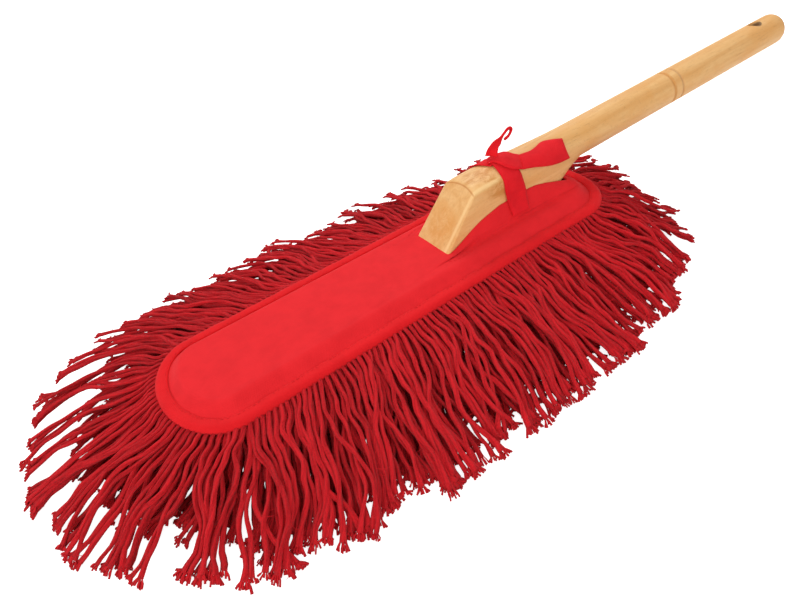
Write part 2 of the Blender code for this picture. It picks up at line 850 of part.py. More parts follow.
def make_row(label, inset, width, top, thickness, pitch, reaches, shares, drops, finish, parts):
    """A row round the outline, in four slices that part where the straight sides begin."""
    path = oval(inset, fine_steps, fine_steps)
    around = path_length(path + [path[0]])
    reach = cap_quarter(inset) + end_slice_overlap
    slices = (("front", -reach, reach), ("near", reach, around / 2 - reach),
              ("rear", around / 2 - reach, around / 2 + reach),
              ("far", around / 2 + reach, around - reach))
    for seed, (side, start, end) in enumerate(slices):
        make_fringe(f"{label}_{side}", inset, width, top, thickness, start + fit_gap,
                    end - fit_gap, pitch, reaches, shares, drops, f"{label}{seed}", finish, parts)


def make_under_row(name, sign, finish, parts):
    """A straight row under the backing, whose strands spread out and lie on the floor."""
    wobble = random.Random(name)
    half = cover_length / 2 - under_end_inset
    count = round(2 * half / under_pitch)
    top = backing_bottom - fit_gap
    inner = sign * (under_place - under_header_width)
    outer = sign * under_place
    places = [cover_middle - half + 2 * half * index / count for index in range(count + 1)]
    work = bmesh.new()
    rim = [work.verts.new((x, outer, top)) for x in places]
    rim += [work.verts.new((places[-1], inner, top)), work.verts.new((places[0], inner, top))]
    pulled = bmesh.ops.extrude_face_region(work, geom=[work.faces.new(rim)])["geom"]
    for item in pulled:
        if isinstance(item, bmesh.types.BMVert):
            item.co.z -= under_header_thickness
    roots = []
    strands = []
    for index in range(count):
        edge = next(edge for edge in rim[index].link_edges
                    if edge.other_vert(rim[index]) is rim[index + 1])
        roots.append(next(face for face in edge.link_faces if abs(normal_z(face)) < 0.5))
        reach = under_reach * (1.0 - tip_trim_share * wobble.random())
        root = Vector(((places[index] + places[index + 1]) / 2, outer, 0.0))
        normal = Vector((0.0, sign, 0.0))
        out = Matrix.Rotation(strand_lean(root, normal), 3, "Z") @ normal
        strands.append(strand_sections(root, out, reach, top - under_header_thickness / 2,
                                       (0.62, 1.0), (1.0, 1.0), wobble))
    grow_strands(work, top, top - under_header_thickness, roots, strands)
    return add_object(name, finish_mesh(name, work), finish, parts)


def make_all_fringe(parts, finish):
    upper_top = backing_bottom - 2 * fit_gap - binding_thickness
    make_row("upper_fringe", rim_inset, upper_header_width, upper_top,
             upper_header_thickness, upper_pitch,
             (upper_front_reach, upper_side_reach, upper_rear_reach),
             (0.34, 0.72, 1.0), (0.16, 0.58, 1.0), finish, parts)
    make_row("lower_fringe", lower_inset, lower_header_width, backing_bottom - fit_gap,
             lower_header_thickness, lower_pitch,
             (lower_front_reach, lower_side_reach, lower_rear_reach),
             (0.09, 0.75, 1.0), (0.15, 1.0, 1.0), finish, parts)
    make_under_row("under_fringe_near", -1, finish, parts)
    make_under_row("under_fringe_far", 1, finish, parts)


def collection_named(name):
    collection = bpy.data.collections.new(name)
    bpy.context.scene.collection.children.link(collection)
    return collection


def main():
    for item in list(bpy.data.objects):
        bpy.data.objects.remove(item, do_unlink=True)
    parts = collection_named("car_duster")
    cutters = collection_named("cutters")
    wood = material("wood", (0.72, 0.48, 0.25), 0.45)
    plywood = material("plywood", (0.55, 0.38, 0.22), 0.7)
    steel = material("steel", (0.62, 0.62, 0.60), 0.35, 1.0)
    cloth = material("cover_cloth", (0.80, 0.02, 0.03), 0.85)
    binding = material("binding_cloth", (0.82, 0.015, 0.022), 0.8)
    tie = material("tie_tape", (0.62, 0.012, 0.025), 0.85)
    yarn = material("yarn", (0.52, 0.012, 0.022), 0.95)
    make_handle(parts, cutters, wood)
    make_board(parts, cutters, plywood)
    make_screws(parts, cutters, steel)
    make_cover_top(parts, cloth)
    make_cover_backing(parts, cloth)
    make_slit_facing(parts, cloth)
    make_binding(parts, binding)
    make_leg("tie_near_leg", -1, tie, parts)
    make_leg("tie_far_leg", 1, tie, parts)
    make_knot(parts, tie)
    make_long_tail(parts, tie)
    make_curled_tail(parts, tie)
    make_all_fringe(parts, yarn)


main()
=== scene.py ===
# %% [markdown]
# # A car duster, dressed in Blender
#
# A car duster is a mop of cotton yarn for wiping dust off paintwork. The yarn hangs from a
# cloth cover, the cover is pulled over a board, and two tapes tie it to the flat foot of a
# turned wooden handle. The solids come from a CAD model in metres. Here each one that shows
# gets its real surface: wood grain, woven cloth, stitches and hundreds of soft yarns.
# The imported model is loaded first, and its solids are kept.

# %% Load the imported model
import math
import bpy
import numpy as np
from mathutils import Matrix, Vector


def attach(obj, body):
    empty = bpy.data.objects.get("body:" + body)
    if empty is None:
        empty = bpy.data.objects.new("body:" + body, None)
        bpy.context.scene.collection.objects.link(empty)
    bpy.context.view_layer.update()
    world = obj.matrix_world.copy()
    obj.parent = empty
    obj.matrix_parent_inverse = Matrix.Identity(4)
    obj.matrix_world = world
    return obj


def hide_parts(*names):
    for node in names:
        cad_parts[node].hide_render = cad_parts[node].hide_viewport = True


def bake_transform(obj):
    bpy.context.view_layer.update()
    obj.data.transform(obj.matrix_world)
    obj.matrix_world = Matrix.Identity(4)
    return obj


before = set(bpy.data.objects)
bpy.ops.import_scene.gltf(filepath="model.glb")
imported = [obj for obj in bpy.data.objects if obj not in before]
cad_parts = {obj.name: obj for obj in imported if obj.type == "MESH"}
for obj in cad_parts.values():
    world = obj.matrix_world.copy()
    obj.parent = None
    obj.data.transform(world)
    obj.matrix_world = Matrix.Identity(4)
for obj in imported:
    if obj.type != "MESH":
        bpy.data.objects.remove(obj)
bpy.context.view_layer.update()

# %% [markdown]
# ## The duster's measures
#
# Every length is in metres and has the same value as in the CAD source. +X runs from the mop
# to the handle's end, +Z is up, and z = 0 is the surface that the yarn rests on.

# %% Measures of the cover, the foot and the board
cover_length = 0.340
cover_front_width = 0.0950
cover_rear_width = 0.0865
cover_cap_length = 0.0335
foot_setback = 0.199
handle_length = 0.384
cover_front = -0.2465
foot_front = cover_front + foot_setback
rim_inset = 0.0006
cloth_thickness = 0.0012
cover_top_height = 0.0450
backing_bottom = 0.0345
rim_top = 0.0372
slope_inset = 0.0175
binding_width = 0.0074
rim_stitch_inset = 0.0060
slit_gap = 0.0004
slit_corner = 0.0022
slit_rear_room = 0.0105
slit_stitch_out = 0.0078

# %% Measures of the handle
foot_width = 0.031
foot_height = 0.036
foot_base = 0.0427
foot_crown = 0.0052
foot_edge = 0.001
foot_base_length = 0.105
heel_length = 0.031
heel_blend = 0.018
crown_blend_start = 0.050
crown_blend_length = 0.072
chamfer_angle = math.radians(47.0)
chamfer_round = 0.0015
neck_diameter = 0.0270
end_diameter = 0.0252
shaft_rise = math.radians(1.04)
axis_height = foot_base + foot_height - neck_diameter / 2
dome_length = 0.0095
groove_places = (0.236, 0.2455)
groove_width = 0.0030
groove_depth = 0.0009
hole_from_end = 0.032
hole_turn = math.radians(-5.0)

# %% [markdown]
# ## Camera
#
# The camera was worked out from the duster's own straight lines: the handle's edges and the
# cover's sides. It stands in front of the near side and looks down on the mop, with a slight
# roll. The focal length is for a 36 mm sensor and a picture of 800 by 611.

# %% Camera at the photograph's place
camera_data = bpy.data.cameras.new("camera")
camera_data.sensor_width = 36.0
camera_data.lens = 31.475
camera = bpy.data.objects.new("camera", camera_data)
bpy.context.scene.collection.objects.link(camera)
camera_right = Vector((0.8011, -0.5746, -0.1675))
camera_up = Vector((0.4666, 0.4244, 0.7760))
camera_forward = Vector((0.3748, 0.6998, -0.6081))
turn = Matrix((camera_right, camera_up, -camera_forward)).transposed()
camera.matrix_world = Matrix.Translation((-0.2608, -0.3377, 0.3059)) @ turn.to_4x4()
bpy.context.scene.camera = camera
print("camera at", [round(v, 3) for v in camera.location], "lens", camera_data.lens)

# %% [markdown]
# ## Light and floor
#
# The duster was photographed on white paper with soft light from two sides: the mop's front
# and the far side of the handle are the brightest. One area lamp stands before the front, one
# beyond the handle, a third fills the near side, and the white world softens what is left.
# They add up to a plain level, at which a colour renders about as it is written.
# Seen by the camera, the floor adds a glow of its own, so that it is white but still keeps
# a faint shadow under the yarn. Node trees come up from here on, so their helpers come first.

# %% Node helpers
def node(tree, kind, inputs=None, **settings):
    """Add a node; an input is a number, a colour, or the socket that feeds it."""
    made = tree.nodes.new(kind)
    for key, value in settings.items():
        setattr(made, key, value)
    for key, value in (inputs or {}).items():
        if isinstance(value, bpy.types.NodeSocket):
            tree.links.new(value, made.inputs[key])
        else:
            made.inputs[key].default_value = value
    return made


def maths(tree, operation, *values):
    """One step of arithmetic on numbers or sockets."""
    return node(tree, "ShaderNodeMath", dict(enumerate(values)), operation=operation).outputs[0]


def vector_maths(tree, operation, one, two):
    """One step of arithmetic on vectors; a distance comes out as a number."""
    made = node(tree, "ShaderNodeVectorMath", {0: one, 1: two}, operation=operation)
    return made.outputs["Value" if operation == "DISTANCE" else "Vector"]

# %% Lamps and world
def area_lamp(name, place, target, size, power):
    """A square lamp of the given side at place, turned so that it faces target."""
    lamp_data = bpy.data.lights.new(name, "AREA")
    lamp_data.size = size
    lamp_data.energy = power
    lamp = bpy.data.objects.new(name, lamp_data)
    bpy.context.scene.collection.objects.link(lamp)
    aim = Vector(target) - Vector(place)
    lamp.matrix_world = (Matrix.Translation(place)
                         @ aim.to_track_quat("-Z", "Y").to_matrix().to_4x4())
    print(name, "at", place, "with", power, "W")


def white_world(unseen, seen):
    """A white world with one strength for the camera and one for all that it lights."""
    world = bpy.data.worlds.new("white_room")
    bpy.context.scene.world = world
    world.use_nodes = True
    tree = world.node_tree
    sky = tree.nodes["Background"]
    sky.inputs["Color"].default_value = (1.0, 1.0, 1.0, 1.0)
    rays = node(tree, "ShaderNodeLightPath").outputs
    looked_at = maths(tree, "MAXIMUM", rays["Is Camera Ray"], rays["Is Transmission Ray"])
    level = node(tree, "ShaderNodeMapRange",
                 {"Value": looked_at, "To Min": unseen, "To Max": seen})
    tree.links.new(level.outputs["Result"], sky.inputs["Strength"])

area_lamp("front_light", (-1.30, -0.10, 0.85), (-0.10, 0.0, 0.03), 0.8, 6.2)
area_lamp("far_light", (0.55, 0.80, 1.00), (0.05, 0.0, 0.05), 0.7, 8.4)
area_lamp("near_fill", (-0.45, -1.35, 0.55), (-0.05, 0.0, 0.03), 1.0, 5.6)
white_world(0.57, 1.0)
bpy.context.scene.view_settings.view_transform = "Standard"

# %% Floor
def lay_floor(half_side, height, glow, grey):
    """A square floor just under z = 0, whose colour is white light plus its own shadow."""
    corners = [(-half_side, -half_side, height), (half_side, -half_side, height),
               (half_side, half_side, height), (-half_side, half_side, height)]
    mesh = bpy.data.meshes.new("floor")
    mesh.from_pydata(corners, [], [(0, 1, 2, 3)])
    floor = bpy.data.objects.new("floor", mesh)
    bpy.context.scene.collection.objects.link(floor)
    paper = bpy.data.materials.new("white_paper")
    paper.use_nodes = True
    tree = paper.node_tree
    tree.nodes.clear()
    rays = node(tree, "ShaderNodeLightPath").outputs
    seen = maths(tree, "MAXIMUM", rays["Is Camera Ray"], rays["Is Glossy Ray"])
    seen = maths(tree, "MAXIMUM", seen, rays["Is Transmission Ray"])
    light = node(tree, "ShaderNodeEmission", {"Strength": maths(tree, "MULTIPLY", seen, glow)})
    shade = node(tree, "ShaderNodeBsdfDiffuse", {"Color": (grey, grey, grey, 1.0)})
    both = node(tree, "ShaderNodeAddShader", {0: light.outputs[0], 1: shade.outputs[0]})
    node(tree, "ShaderNodeOutputMaterial", {"Surface": both.outputs[0]})
    mesh.materials.append(paper)
    print("floor of", 2 * half_side, "m at z =", height)

lay_floor(4.0, -0.0004, 0.86, 0.78)

# %% [markdown]
# ## From numbers to meshes
#
# Each piece below is a surface worked out with numpy: a grid of points, rows along the piece
# and columns across or around it. These helpers join such a grid with quads, close its ends
# and hand the result to Blender. Since the volume inside a closed skin is positive only when
# its faces point outwards, the sign of that volume shows whether a skin has to be turned.

# %% Helpers: easing, grids and closed skins
def ease(value, start, length):
    """Smooth step 3s^2 - 2s^3 of s = (value - start) / length, held between 0 and 1."""
    share = np.clip((value - start) / length, 0.0, 1.0)
    return share * share * (3.0 - 2.0 * share)


def grid(rows, columns, round_rows=False, round_columns=True):
    """Quads between the points of a grid, and each quad's corners as (column, row) places."""
    row, column = np.meshgrid(np.arange(rows if round_rows else rows - 1),
                              np.arange(columns if round_columns else columns - 1),
                              indexing="ij")
    steps = ((0, 0), (0, 1), (1, 1), (1, 0))
    quads = np.stack([(row + down) % rows * columns + (column + over) % columns
                      for down, over in steps], axis=-1)
    places = np.stack([np.stack([column + over, row + down], axis=-1)
                       for down, over in steps], axis=-2)
    return quads.reshape(-1, 4), places.reshape(-1, 4, 2).astype(float)


def end_caps(rows, columns):
    """The first and the last row of a round grid as two faces, the first one turned over."""
    ring = np.arange(columns)
    return np.stack([ring[::-1], ring + (rows - 1) * columns])


def enclosed(points, faces):
    """Volume inside closed skins: a . (b x c) / 6, summed over each face's fan of triangles."""
    total = 0.0
    for group in faces:
        first = points[group[:, 0]]
        for corner in range(1, group.shape[1] - 1):
            cross = np.cross(points[group[:, corner]], points[group[:, corner + 1]])
            total += float(np.sum(first * cross)) / 6.0
    return total


def make_piece(name, points, faces, uvs, finish, body="duster", nodes=(), slot=None, tint=None,
               bend=None):
    """Put a closed skin into a mesh object at the origin, with its UV map, finish and body.

    bend, when given, only bakes the piece's transform in, and the piece is then not attached to
    its body; its two points are not used."""
    points = np.asarray(points, dtype=float).reshape(-1, 3)
    volume = enclosed(points, faces)
    if volume < 0.0:
        faces = [group[:, ::-1] for group in faces]
        uvs = [group[:, ::-1] for group in uvs]
    sizes = np.concatenate([np.full(len(group), group.shape[1]) for group in faces])
    mesh = bpy.data.meshes.new(name)
    mesh.vertices.add(len(points))
    mesh.vertices.foreach_set("co", points.astype(np.float32).ravel())
    mesh.loops.add(int(sizes.sum()))
    mesh.loops.foreach_set("vertex_index",
                           np.concatenate([group.ravel() for group in faces]).astype(np.int32))
    mesh.polygons.add(len(sizes))
    starts = np.concatenate([[0], np.cumsum(sizes)[:-1]])
    mesh.polygons.foreach_set("loop_start", starts.astype(np.int32))
    mesh.update(calc_edges=True)
    layer = mesh.uv_layers.new(name="UVMap")
    layer.data.foreach_set("uv", np.concatenate([group.reshape(-1, 2) for group in uvs])
                           .astype(np.float32).ravel())
    if tint is not None:
        shade = mesh.attributes.new("tint", "FLOAT", "POINT")
        shade.data.foreach_set("value", np.asarray(tint, dtype=np.float32).ravel())
    mesh.shade_smooth()
    mesh.materials.append(finish)
    piece = bpy.data.objects.new(name, mesh)
    bpy.context.scene.collection.objects.link(piece)
    if bend:
        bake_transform(piece)
    else:
        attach(piece, body)
    if nodes:
        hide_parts(*nodes)
    print(name, len(points), "points,", int((sizes - 2).sum()), "triangles,",
          round(abs(volume) * 1e6, 1), "cubic cm")
    return piece

# %% Helpers: paths
def unit(vectors):
    """Each vector divided by its length."""
    return vectors / np.linalg.norm(vectors, axis=-1, keepdims=True)


def travelled(points):
    """Distance along a path, from its first point to each of its points."""
    return np.concatenate([[0.0], np.cumsum(np.linalg.norm(np.diff(points, axis=0), axis=1))])


def on_path(spots, along, points):
    """The places on a path at the given distances along it."""
    return np.stack([np.interp(spots, along, column) for column in points.T], axis=1)


def ring_of(path):
    """A closed path's points with the first one again at the end."""
    return np.concatenate([path, path[:1]])


def smoothed(values, rounds):
    """Values averaged with their neighbours along the first axis, in place; the ends stay."""
    for again in range(rounds):
        values[1:-1] = (values[:-2] + 2 * values[1:-1] + values[2:]) / 4
    return values


def raised(plan, height):
    """Points in the plane, each lifted to its height."""
    return np.concatenate([plan, np.broadcast_to(height, plan.shape[:-1])[..., None]], axis=-1)

# %% Helper: many tubes at once
def tubes(centres, side, over, half_wide, half_high, corners, around_share=1.0):
    """Skins of many tubes: centre + side a cos t + over b sin t, for t around each section.

    centres, side and over are (tubes, sections, 3); a and b are (tubes, sections). The UV
    map holds the share around the tube, less for fine threads, and the metres along it."""
    count, sections = centres.shape[:2]
    around = 2.0 * np.pi * (np.arange(corners) / corners) - np.pi / 2
    wide = (half_wide[..., None] * np.cos(around))[..., None]
    high = (half_high[..., None] * np.sin(around))[..., None]
    points = centres[:, :, None] + side[:, :, None] * wide + over[:, :, None] * high
    quads, places = grid(sections, corners)
    offset = np.arange(count)[:, None, None] * (sections * corners)
    step = np.linalg.norm(np.diff(centres, axis=1), axis=2)
    along = np.concatenate([np.zeros((count, 1)), np.cumsum(step, axis=1)], axis=1)
    share = around_share / corners
    quad_uv = np.stack([np.broadcast_to(places[..., 0] * share, (count,) + places.shape[:2]),
                        along[:, places[..., 1].astype(int)]], axis=-1)
    caps = end_caps(sections, corners)
    cap_uv = np.stack([np.broadcast_to(np.arange(corners) * share, (count, 2, corners)),
                       np.broadcast_to(along[:, [0, -1]][..., None], (count, 2, corners))],
                      axis=-1)
    return (points.reshape(-1, 3),
            [(quads[None] + offset).reshape(-1, 4), (caps[None] + offset).reshape(-1, corners)],
            [quad_uv.reshape(-1, 4, 2), cap_uv.reshape(-1, corners, 2)])


def directions(centres):
    """Two unit directions across many paths: level, and over."""
    tangent = unit(np.gradient(centres, axis=1))
    side = np.cross(tangent, (0.0, 0.0, 1.0))
    side /= np.linalg.norm(side, axis=2, keepdims=True) + 1e-9
    return side, np.cross(side, tangent)


def joined(*skins):
    """Several skins as one: each one's corner numbers move on by the points before it."""
    points, faces, uvs, start = [], [], [], 0
    for skin_points, skin_faces, skin_uvs in skins:
        points.append(skin_points)
        faces += [group + start for group in skin_faces]
        uvs += skin_uvs
        start += len(skin_points)
    return np.concatenate(points), faces, uvs

# %% [markdown]
# ## Finishes
#
# A finish is a small tree of nodes. The wood is pale and waxed, with long soft streaks and fine
# pores, and brown blotches on the foot. Light and shade are painted on it as well: a pale
# highlight along the foot's near edge, and shade in the crease atop the chamfer, in the grooves
# and in the hanging hole. The cover is plain woven cotton, the ties are twill tape, and the yarn
# is soft and streaky with a slight twist; painted shade darkens the hollows of the weave and the
# plies. Patterns on the wood read the object's own coordinates; patterns on yarn and tape follow
# the piece through its UV map.

# %% Helpers: finishes
def start_finish(name, roughness, **constants):
    """A new material and its main shader, with constants set straight on its sockets."""
    finish = bpy.data.materials.new(name)
    finish.use_nodes = True
    shader = finish.node_tree.nodes["Principled BSDF"]
    shader.inputs["Roughness"].default_value = roughness
    for key, value in constants.items():
        shader.inputs[key.replace("_", " ")].default_value = value
    return finish, finish.node_tree, shader


def linear(red, green, blue):
    """A colour written as 0 to 255 on screen, in the linear numbers that shaders use."""
    share = np.array((red, green, blue)) / 255.0
    value = np.where(share <= 0.04045, share / 12.92, ((share + 0.055) / 1.055) ** 2.4)
    return (*[float(v) for v in value], 1.0)


def mixed(tree, factor, one, two):
    """A colour between one and two."""
    mix = node(tree, "ShaderNodeMix", data_type="RGBA")
    for socket, value in ((mix.inputs[0], factor), (mix.inputs[6], one), (mix.inputs[7], two)):
        if isinstance(value, bpy.types.NodeSocket):
            tree.links.new(value, socket)
        else:
            socket.default_value = value
    return mix.outputs[2]


def object_place(tree):
    """The place on the piece in its own coordinates, in metres."""
    return node(tree, "ShaderNodeTexCoord").outputs["Object"]


def noise(tree, vector, scale, detail=3.0, roughness=0.5, distortion=0.0, output="Fac"):
    """Smooth noise with scale waves to a metre, finer by octaves up to detail."""
    return node(tree, "ShaderNodeTexNoise", {"Vector": vector, "Scale": scale, "Detail": detail,
                                             "Roughness": roughness, "Distortion": distortion}
                ).outputs[output]


def ranged(tree, value, low, high, to_low=0.0, to_high=1.0):
    """A value that passes smoothly from to_low at low to to_high at high, and stays there."""
    return node(tree, "ShaderNodeMapRange",
                {"Value": value, "From Min": low, "From Max": high, "To Min": to_low,
                 "To Max": to_high}, interpolation_type="SMOOTHSTEP").outputs["Result"]


def stretched(tree, vector, scale):
    """A place with each axis scaled, which makes a pattern long along the smallest one."""
    return node(tree, "ShaderNodeMapping", {"Vector": vector, "Scale": scale}).outputs["Vector"]


def bumped(tree, shader, height, distance):
    """Shade the surface as if it rose by distance times the height pattern."""
    bump = node(tree, "ShaderNodeBump", {"Height": height, "Distance": distance, "Strength": 1.0})
    tree.links.new(bump.outputs["Normal"], shader.inputs["Normal"])

# %% Marks on the wood
def brown_blotches_on_foot(tree, place, colour):
    """Brown blotches round three places on the foot, with warped rims and broken by the grain."""
    shift = vector_maths(tree, "MULTIPLY", noise(tree, place, 95.0, output="Color"),
                         (0.016, 0.016, 0.016))
    warped = vector_maths(tree, "ADD", place, shift)
    grain = noise(tree, stretched(tree, place, (90.0, 150.0, 150.0)), 1.4, 3.0, 0.65, 1.2)
    for centre, reach, amount, brown in (
            ((0.0055, 0.0060, 0.0868), 0.0150, 0.68, (198, 122, 30)),
            ((0.0120, -0.0070, 0.0800), 0.0130, 0.66, (196, 120, 36)),
            ((-0.0300, 0.0080, 0.0640), 0.0180, 0.60, (224, 150, 74))):
        away = vector_maths(tree, "DISTANCE", warped, centre)
        share = maths(tree, "MULTIPLY", ranged(tree, away, reach, reach * 0.3),
                      ranged(tree, grain, 0.36, 0.60, 0.15, amount))
        colour = mixed(tree, share, colour, linear(*brown))
    return colour


def painted_groove_shade(tree, place, colour):
    """Bands of painted shade round the handle: in the two grooves and at the corner of the dome.
    """
    for ring_x, reach, amount, brown in (
            (foot_front + groove_places[0], 0.0026, 0.55, (204, 136, 64)),
            (foot_front + groove_places[1], 0.0018, 0.45, (186, 146, 106)),
            (foot_front + handle_length - 0.0068, 0.0013, 0.50, (200, 134, 66))):
        off = vector_maths(tree, "DISTANCE", stretched(tree, place, (1.0, 0.0, 0.0)),
                           (ring_x, 0.0, 0.0))
        colour = mixed(tree, ranged(tree, off, reach, reach * 0.2, 0.0, amount), colour,
                       linear(*brown))
    return colour


def painted_edge_highlight(tree, place, colour):
    """A painted highlight: a pale line along the foot's near upper edge, 13.6 mm from the middle,
    up to the knot.
    """
    apart = node(tree, "ShaderNodeSeparateXYZ", {0: place}).outputs
    off = maths(tree, "ABSOLUTE", maths(tree, "ADD", apart["Y"], 0.0136))
    edge_highlight_share = maths(tree, "MULTIPLY", ranged(tree, off, 0.0020, 0.0004, 0.0, 0.66),
                 ranged(tree, apart["X"], 0.010, 0.002))
    return mixed(tree, edge_highlight_share, colour, linear(255, 214, 152))


def painted_crease_shade(tree, place, colour):
    """Painted shade in the crease atop the chamfer: a thin brown arc on the foot, where a sphere
    of 33.8 mm radius meets its top.
    """
    from_arc_centre = vector_maths(tree, "DISTANCE", place, (-0.0440, 0.0, 0.0600))
    off = maths(tree, "ABSOLUTE", maths(tree, "SUBTRACT", from_arc_centre, 0.0338))
    height = node(tree, "ShaderNodeSeparateXYZ", {0: place}).outputs["Z"]
    ring = maths(tree, "MULTIPLY", ranged(tree, off, 0.0009, 0.0002, 0.0, 0.60),
                 ranged(tree, height, 0.0738, 0.0756))
    return mixed(tree, ring, colour, linear(196, 120, 54))


def painted_hole_shade(tree, place, colour):
    """Painted shade in the hanging hole: the wood is darker within 5 mm of its axis."""
    hole_x = foot_front + handle_length - hole_from_end
    off = vector_maths(tree, "DISTANCE", stretched(tree, place, (1.0, 1.0, 0.0)),
                       (hole_x, 0.0, 0.0))
    return mixed(tree, ranged(tree, off, 0.0056, 0.0046, 0.0, 0.80), colour, linear(92, 72, 58))

# %% Wood
def waxed_wood():
    """Pale wood: each layer of noise mixes its own colour over what lies below it.

    The noise is stretched along X, the grain's way: broad streaks, cloudy warmth and fine
    pores; specks are round. Then come brown blotches, a painted highlight and painted shade,
    and a bump of streaks minus pores."""
    finish, tree, shader = start_finish("waxed_wood", 0.48, Specular_IOR_Level=0.20)
    place = object_place(tree)
    streaks = noise(tree, stretched(tree, place, (5.0, 95.0, 95.0)), 1.6, 5.0, 0.6, 0.7)
    clouds = noise(tree, stretched(tree, place, (22.0, 40.0, 40.0)), 1.3, 3.0, 0.55, 0.5)
    pores = noise(tree, stretched(tree, place, (60.0, 640.0, 640.0)), 1.7, 2.0, 0.7)
    specks = noise(tree, place, 520.0, 3.0, 0.7)
    colour = linear(242, 194, 131)
    for pattern, low, high, amount, over in ((streaks, 0.30, 0.72, 1.00, (229, 171, 104)),
                                             (clouds, 0.40, 0.72, 0.60, (231, 166, 92)),
                                             (pores, 0.58, 0.74, 0.32, (180, 122, 68)),
                                             (specks, 0.52, 0.76, 0.26, (186, 130, 74))):
        colour = mixed(tree, ranged(tree, pattern, low, high, 0.0, amount), colour, linear(*over))
    for mark in (brown_blotches_on_foot, painted_groove_shade, painted_edge_highlight, painted_crease_shade, painted_hole_shade):
        colour = mark(tree, place, colour)
    tree.links.new(colour, shader.inputs["Base Color"])
    tree.links.new(ranged(tree, streaks, 0.2, 0.8, 0.40, 0.54), shader.inputs["Roughness"])
    height = maths(tree, "ADD", ranged(tree, pores, 0.55, 0.78, 0.0, -1.0), streaks)
    bumped(tree, shader, height, 0.00009)
    return finish

wood = waxed_wood()
print("finish:", wood.name)

# %% Plywood and zinc-plated steel
def sanded_plywood():
    """Plywood: thin layers by height at the edges, and broad grain on the faces."""
    finish, tree, shader = start_finish("sanded_plywood", 0.7)
    layers = stretched(tree, object_place(tree), (8.0, 70.0, 900.0))
    grain = noise(tree, layers, 2.0, 4.0, 0.6)
    colour = mixed(tree, ranged(tree, grain, 0.35, 0.7), linear(206, 174, 128),
                   linear(170, 132, 88))
    tree.links.new(colour, shader.inputs["Base Color"])
    bumped(tree, shader, grain, 0.0001)
    return finish


def zinc_steel():
    """Zinc plating: grey metal with a fine uneven polish."""
    finish, tree, shader = start_finish("zinc_steel", 0.3, Metallic=1.0)
    bloom = noise(tree, object_place(tree), 600.0, 3.0)
    colour = mixed(tree, ranged(tree, bloom, 0.3, 0.7), (0.62, 0.62, 0.60, 1.0),
                   (0.50, 0.49, 0.46, 1.0))
    tree.links.new(colour, shader.inputs["Base Color"])
    tree.links.new(ranged(tree, bloom, 0.3, 0.7, 0.24, 0.40), shader.inputs["Roughness"])
    return finish

plywood = sanded_plywood()
steel = zinc_steel()
print("finishes:", plywood.name, steel.name)

# %% Cover cloth, binding and tie tape
def woven(tree, vector, threads):
    """Plain weave: warp and weft hump over each other in turn.

    For n threads to a metre it is sin(pi n x) sin(pi n y), from -1 to 1."""
    parts = node(tree, "ShaderNodeSeparateXYZ", {"Vector": vector}).outputs
    waves = [maths(tree, "SINE", maths(tree, "MULTIPLY", parts[axis], math.pi * threads))
             for axis in ("X", "Y")]
    return maths(tree, "MULTIPLY", *waves)


def cotton_cloth(name, colour, shade, threads, from_uv, weave_depth):
    """Matt woven cotton: a weave bump with painted shade in its hollows, faint mottling from
    uneven dye, and soft slack.
    """
    finish, tree, shader = start_finish(name, 0.88, Sheen_Weight=0.04, Sheen_Roughness=0.5,
                                        Specular_IOR_Level=0.10)
    coordinates = node(tree, "ShaderNodeTexCoord")
    place = coordinates.outputs["Object"]
    weave = woven(tree, coordinates.outputs["UV" if from_uv else "Object"], threads)
    mottle = noise(tree, place, 85.0, 4.0, 0.6)
    mix = mixed(tree, ranged(tree, mottle, 0.30, 0.75), linear(*colour), linear(*shade))
    # Painted shade: where the weave dips, the colour goes 16 % of the way to the darker red.
    mix = mixed(tree, ranged(tree, weave, -1.0, 1.0, 0.16, 0.0), mix, linear(*shade))
    tree.links.new(mix, shader.inputs["Base Color"])
    slack = noise(tree, place, 38.0, 2.0, 0.4)
    bumped(tree, shader, maths(tree, "MULTIPLY_ADD", slack, 6.0, weave), weave_depth)
    return finish

cover_cloth = cotton_cloth("cover_cloth", (236, 40, 46), (226, 36, 42), 1700.0, False, 0.00006)
binding_cloth = cotton_cloth("binding_cloth", (232, 30, 36), (222, 27, 33), 1500.0, True, 0.00008)
tie_tape = cotton_cloth("tie_tape", (240, 33, 42), (222, 27, 37), 1400.0, True, 0.00009)
print("finishes:", cover_cloth.name, binding_cloth.name, tie_tape.name)

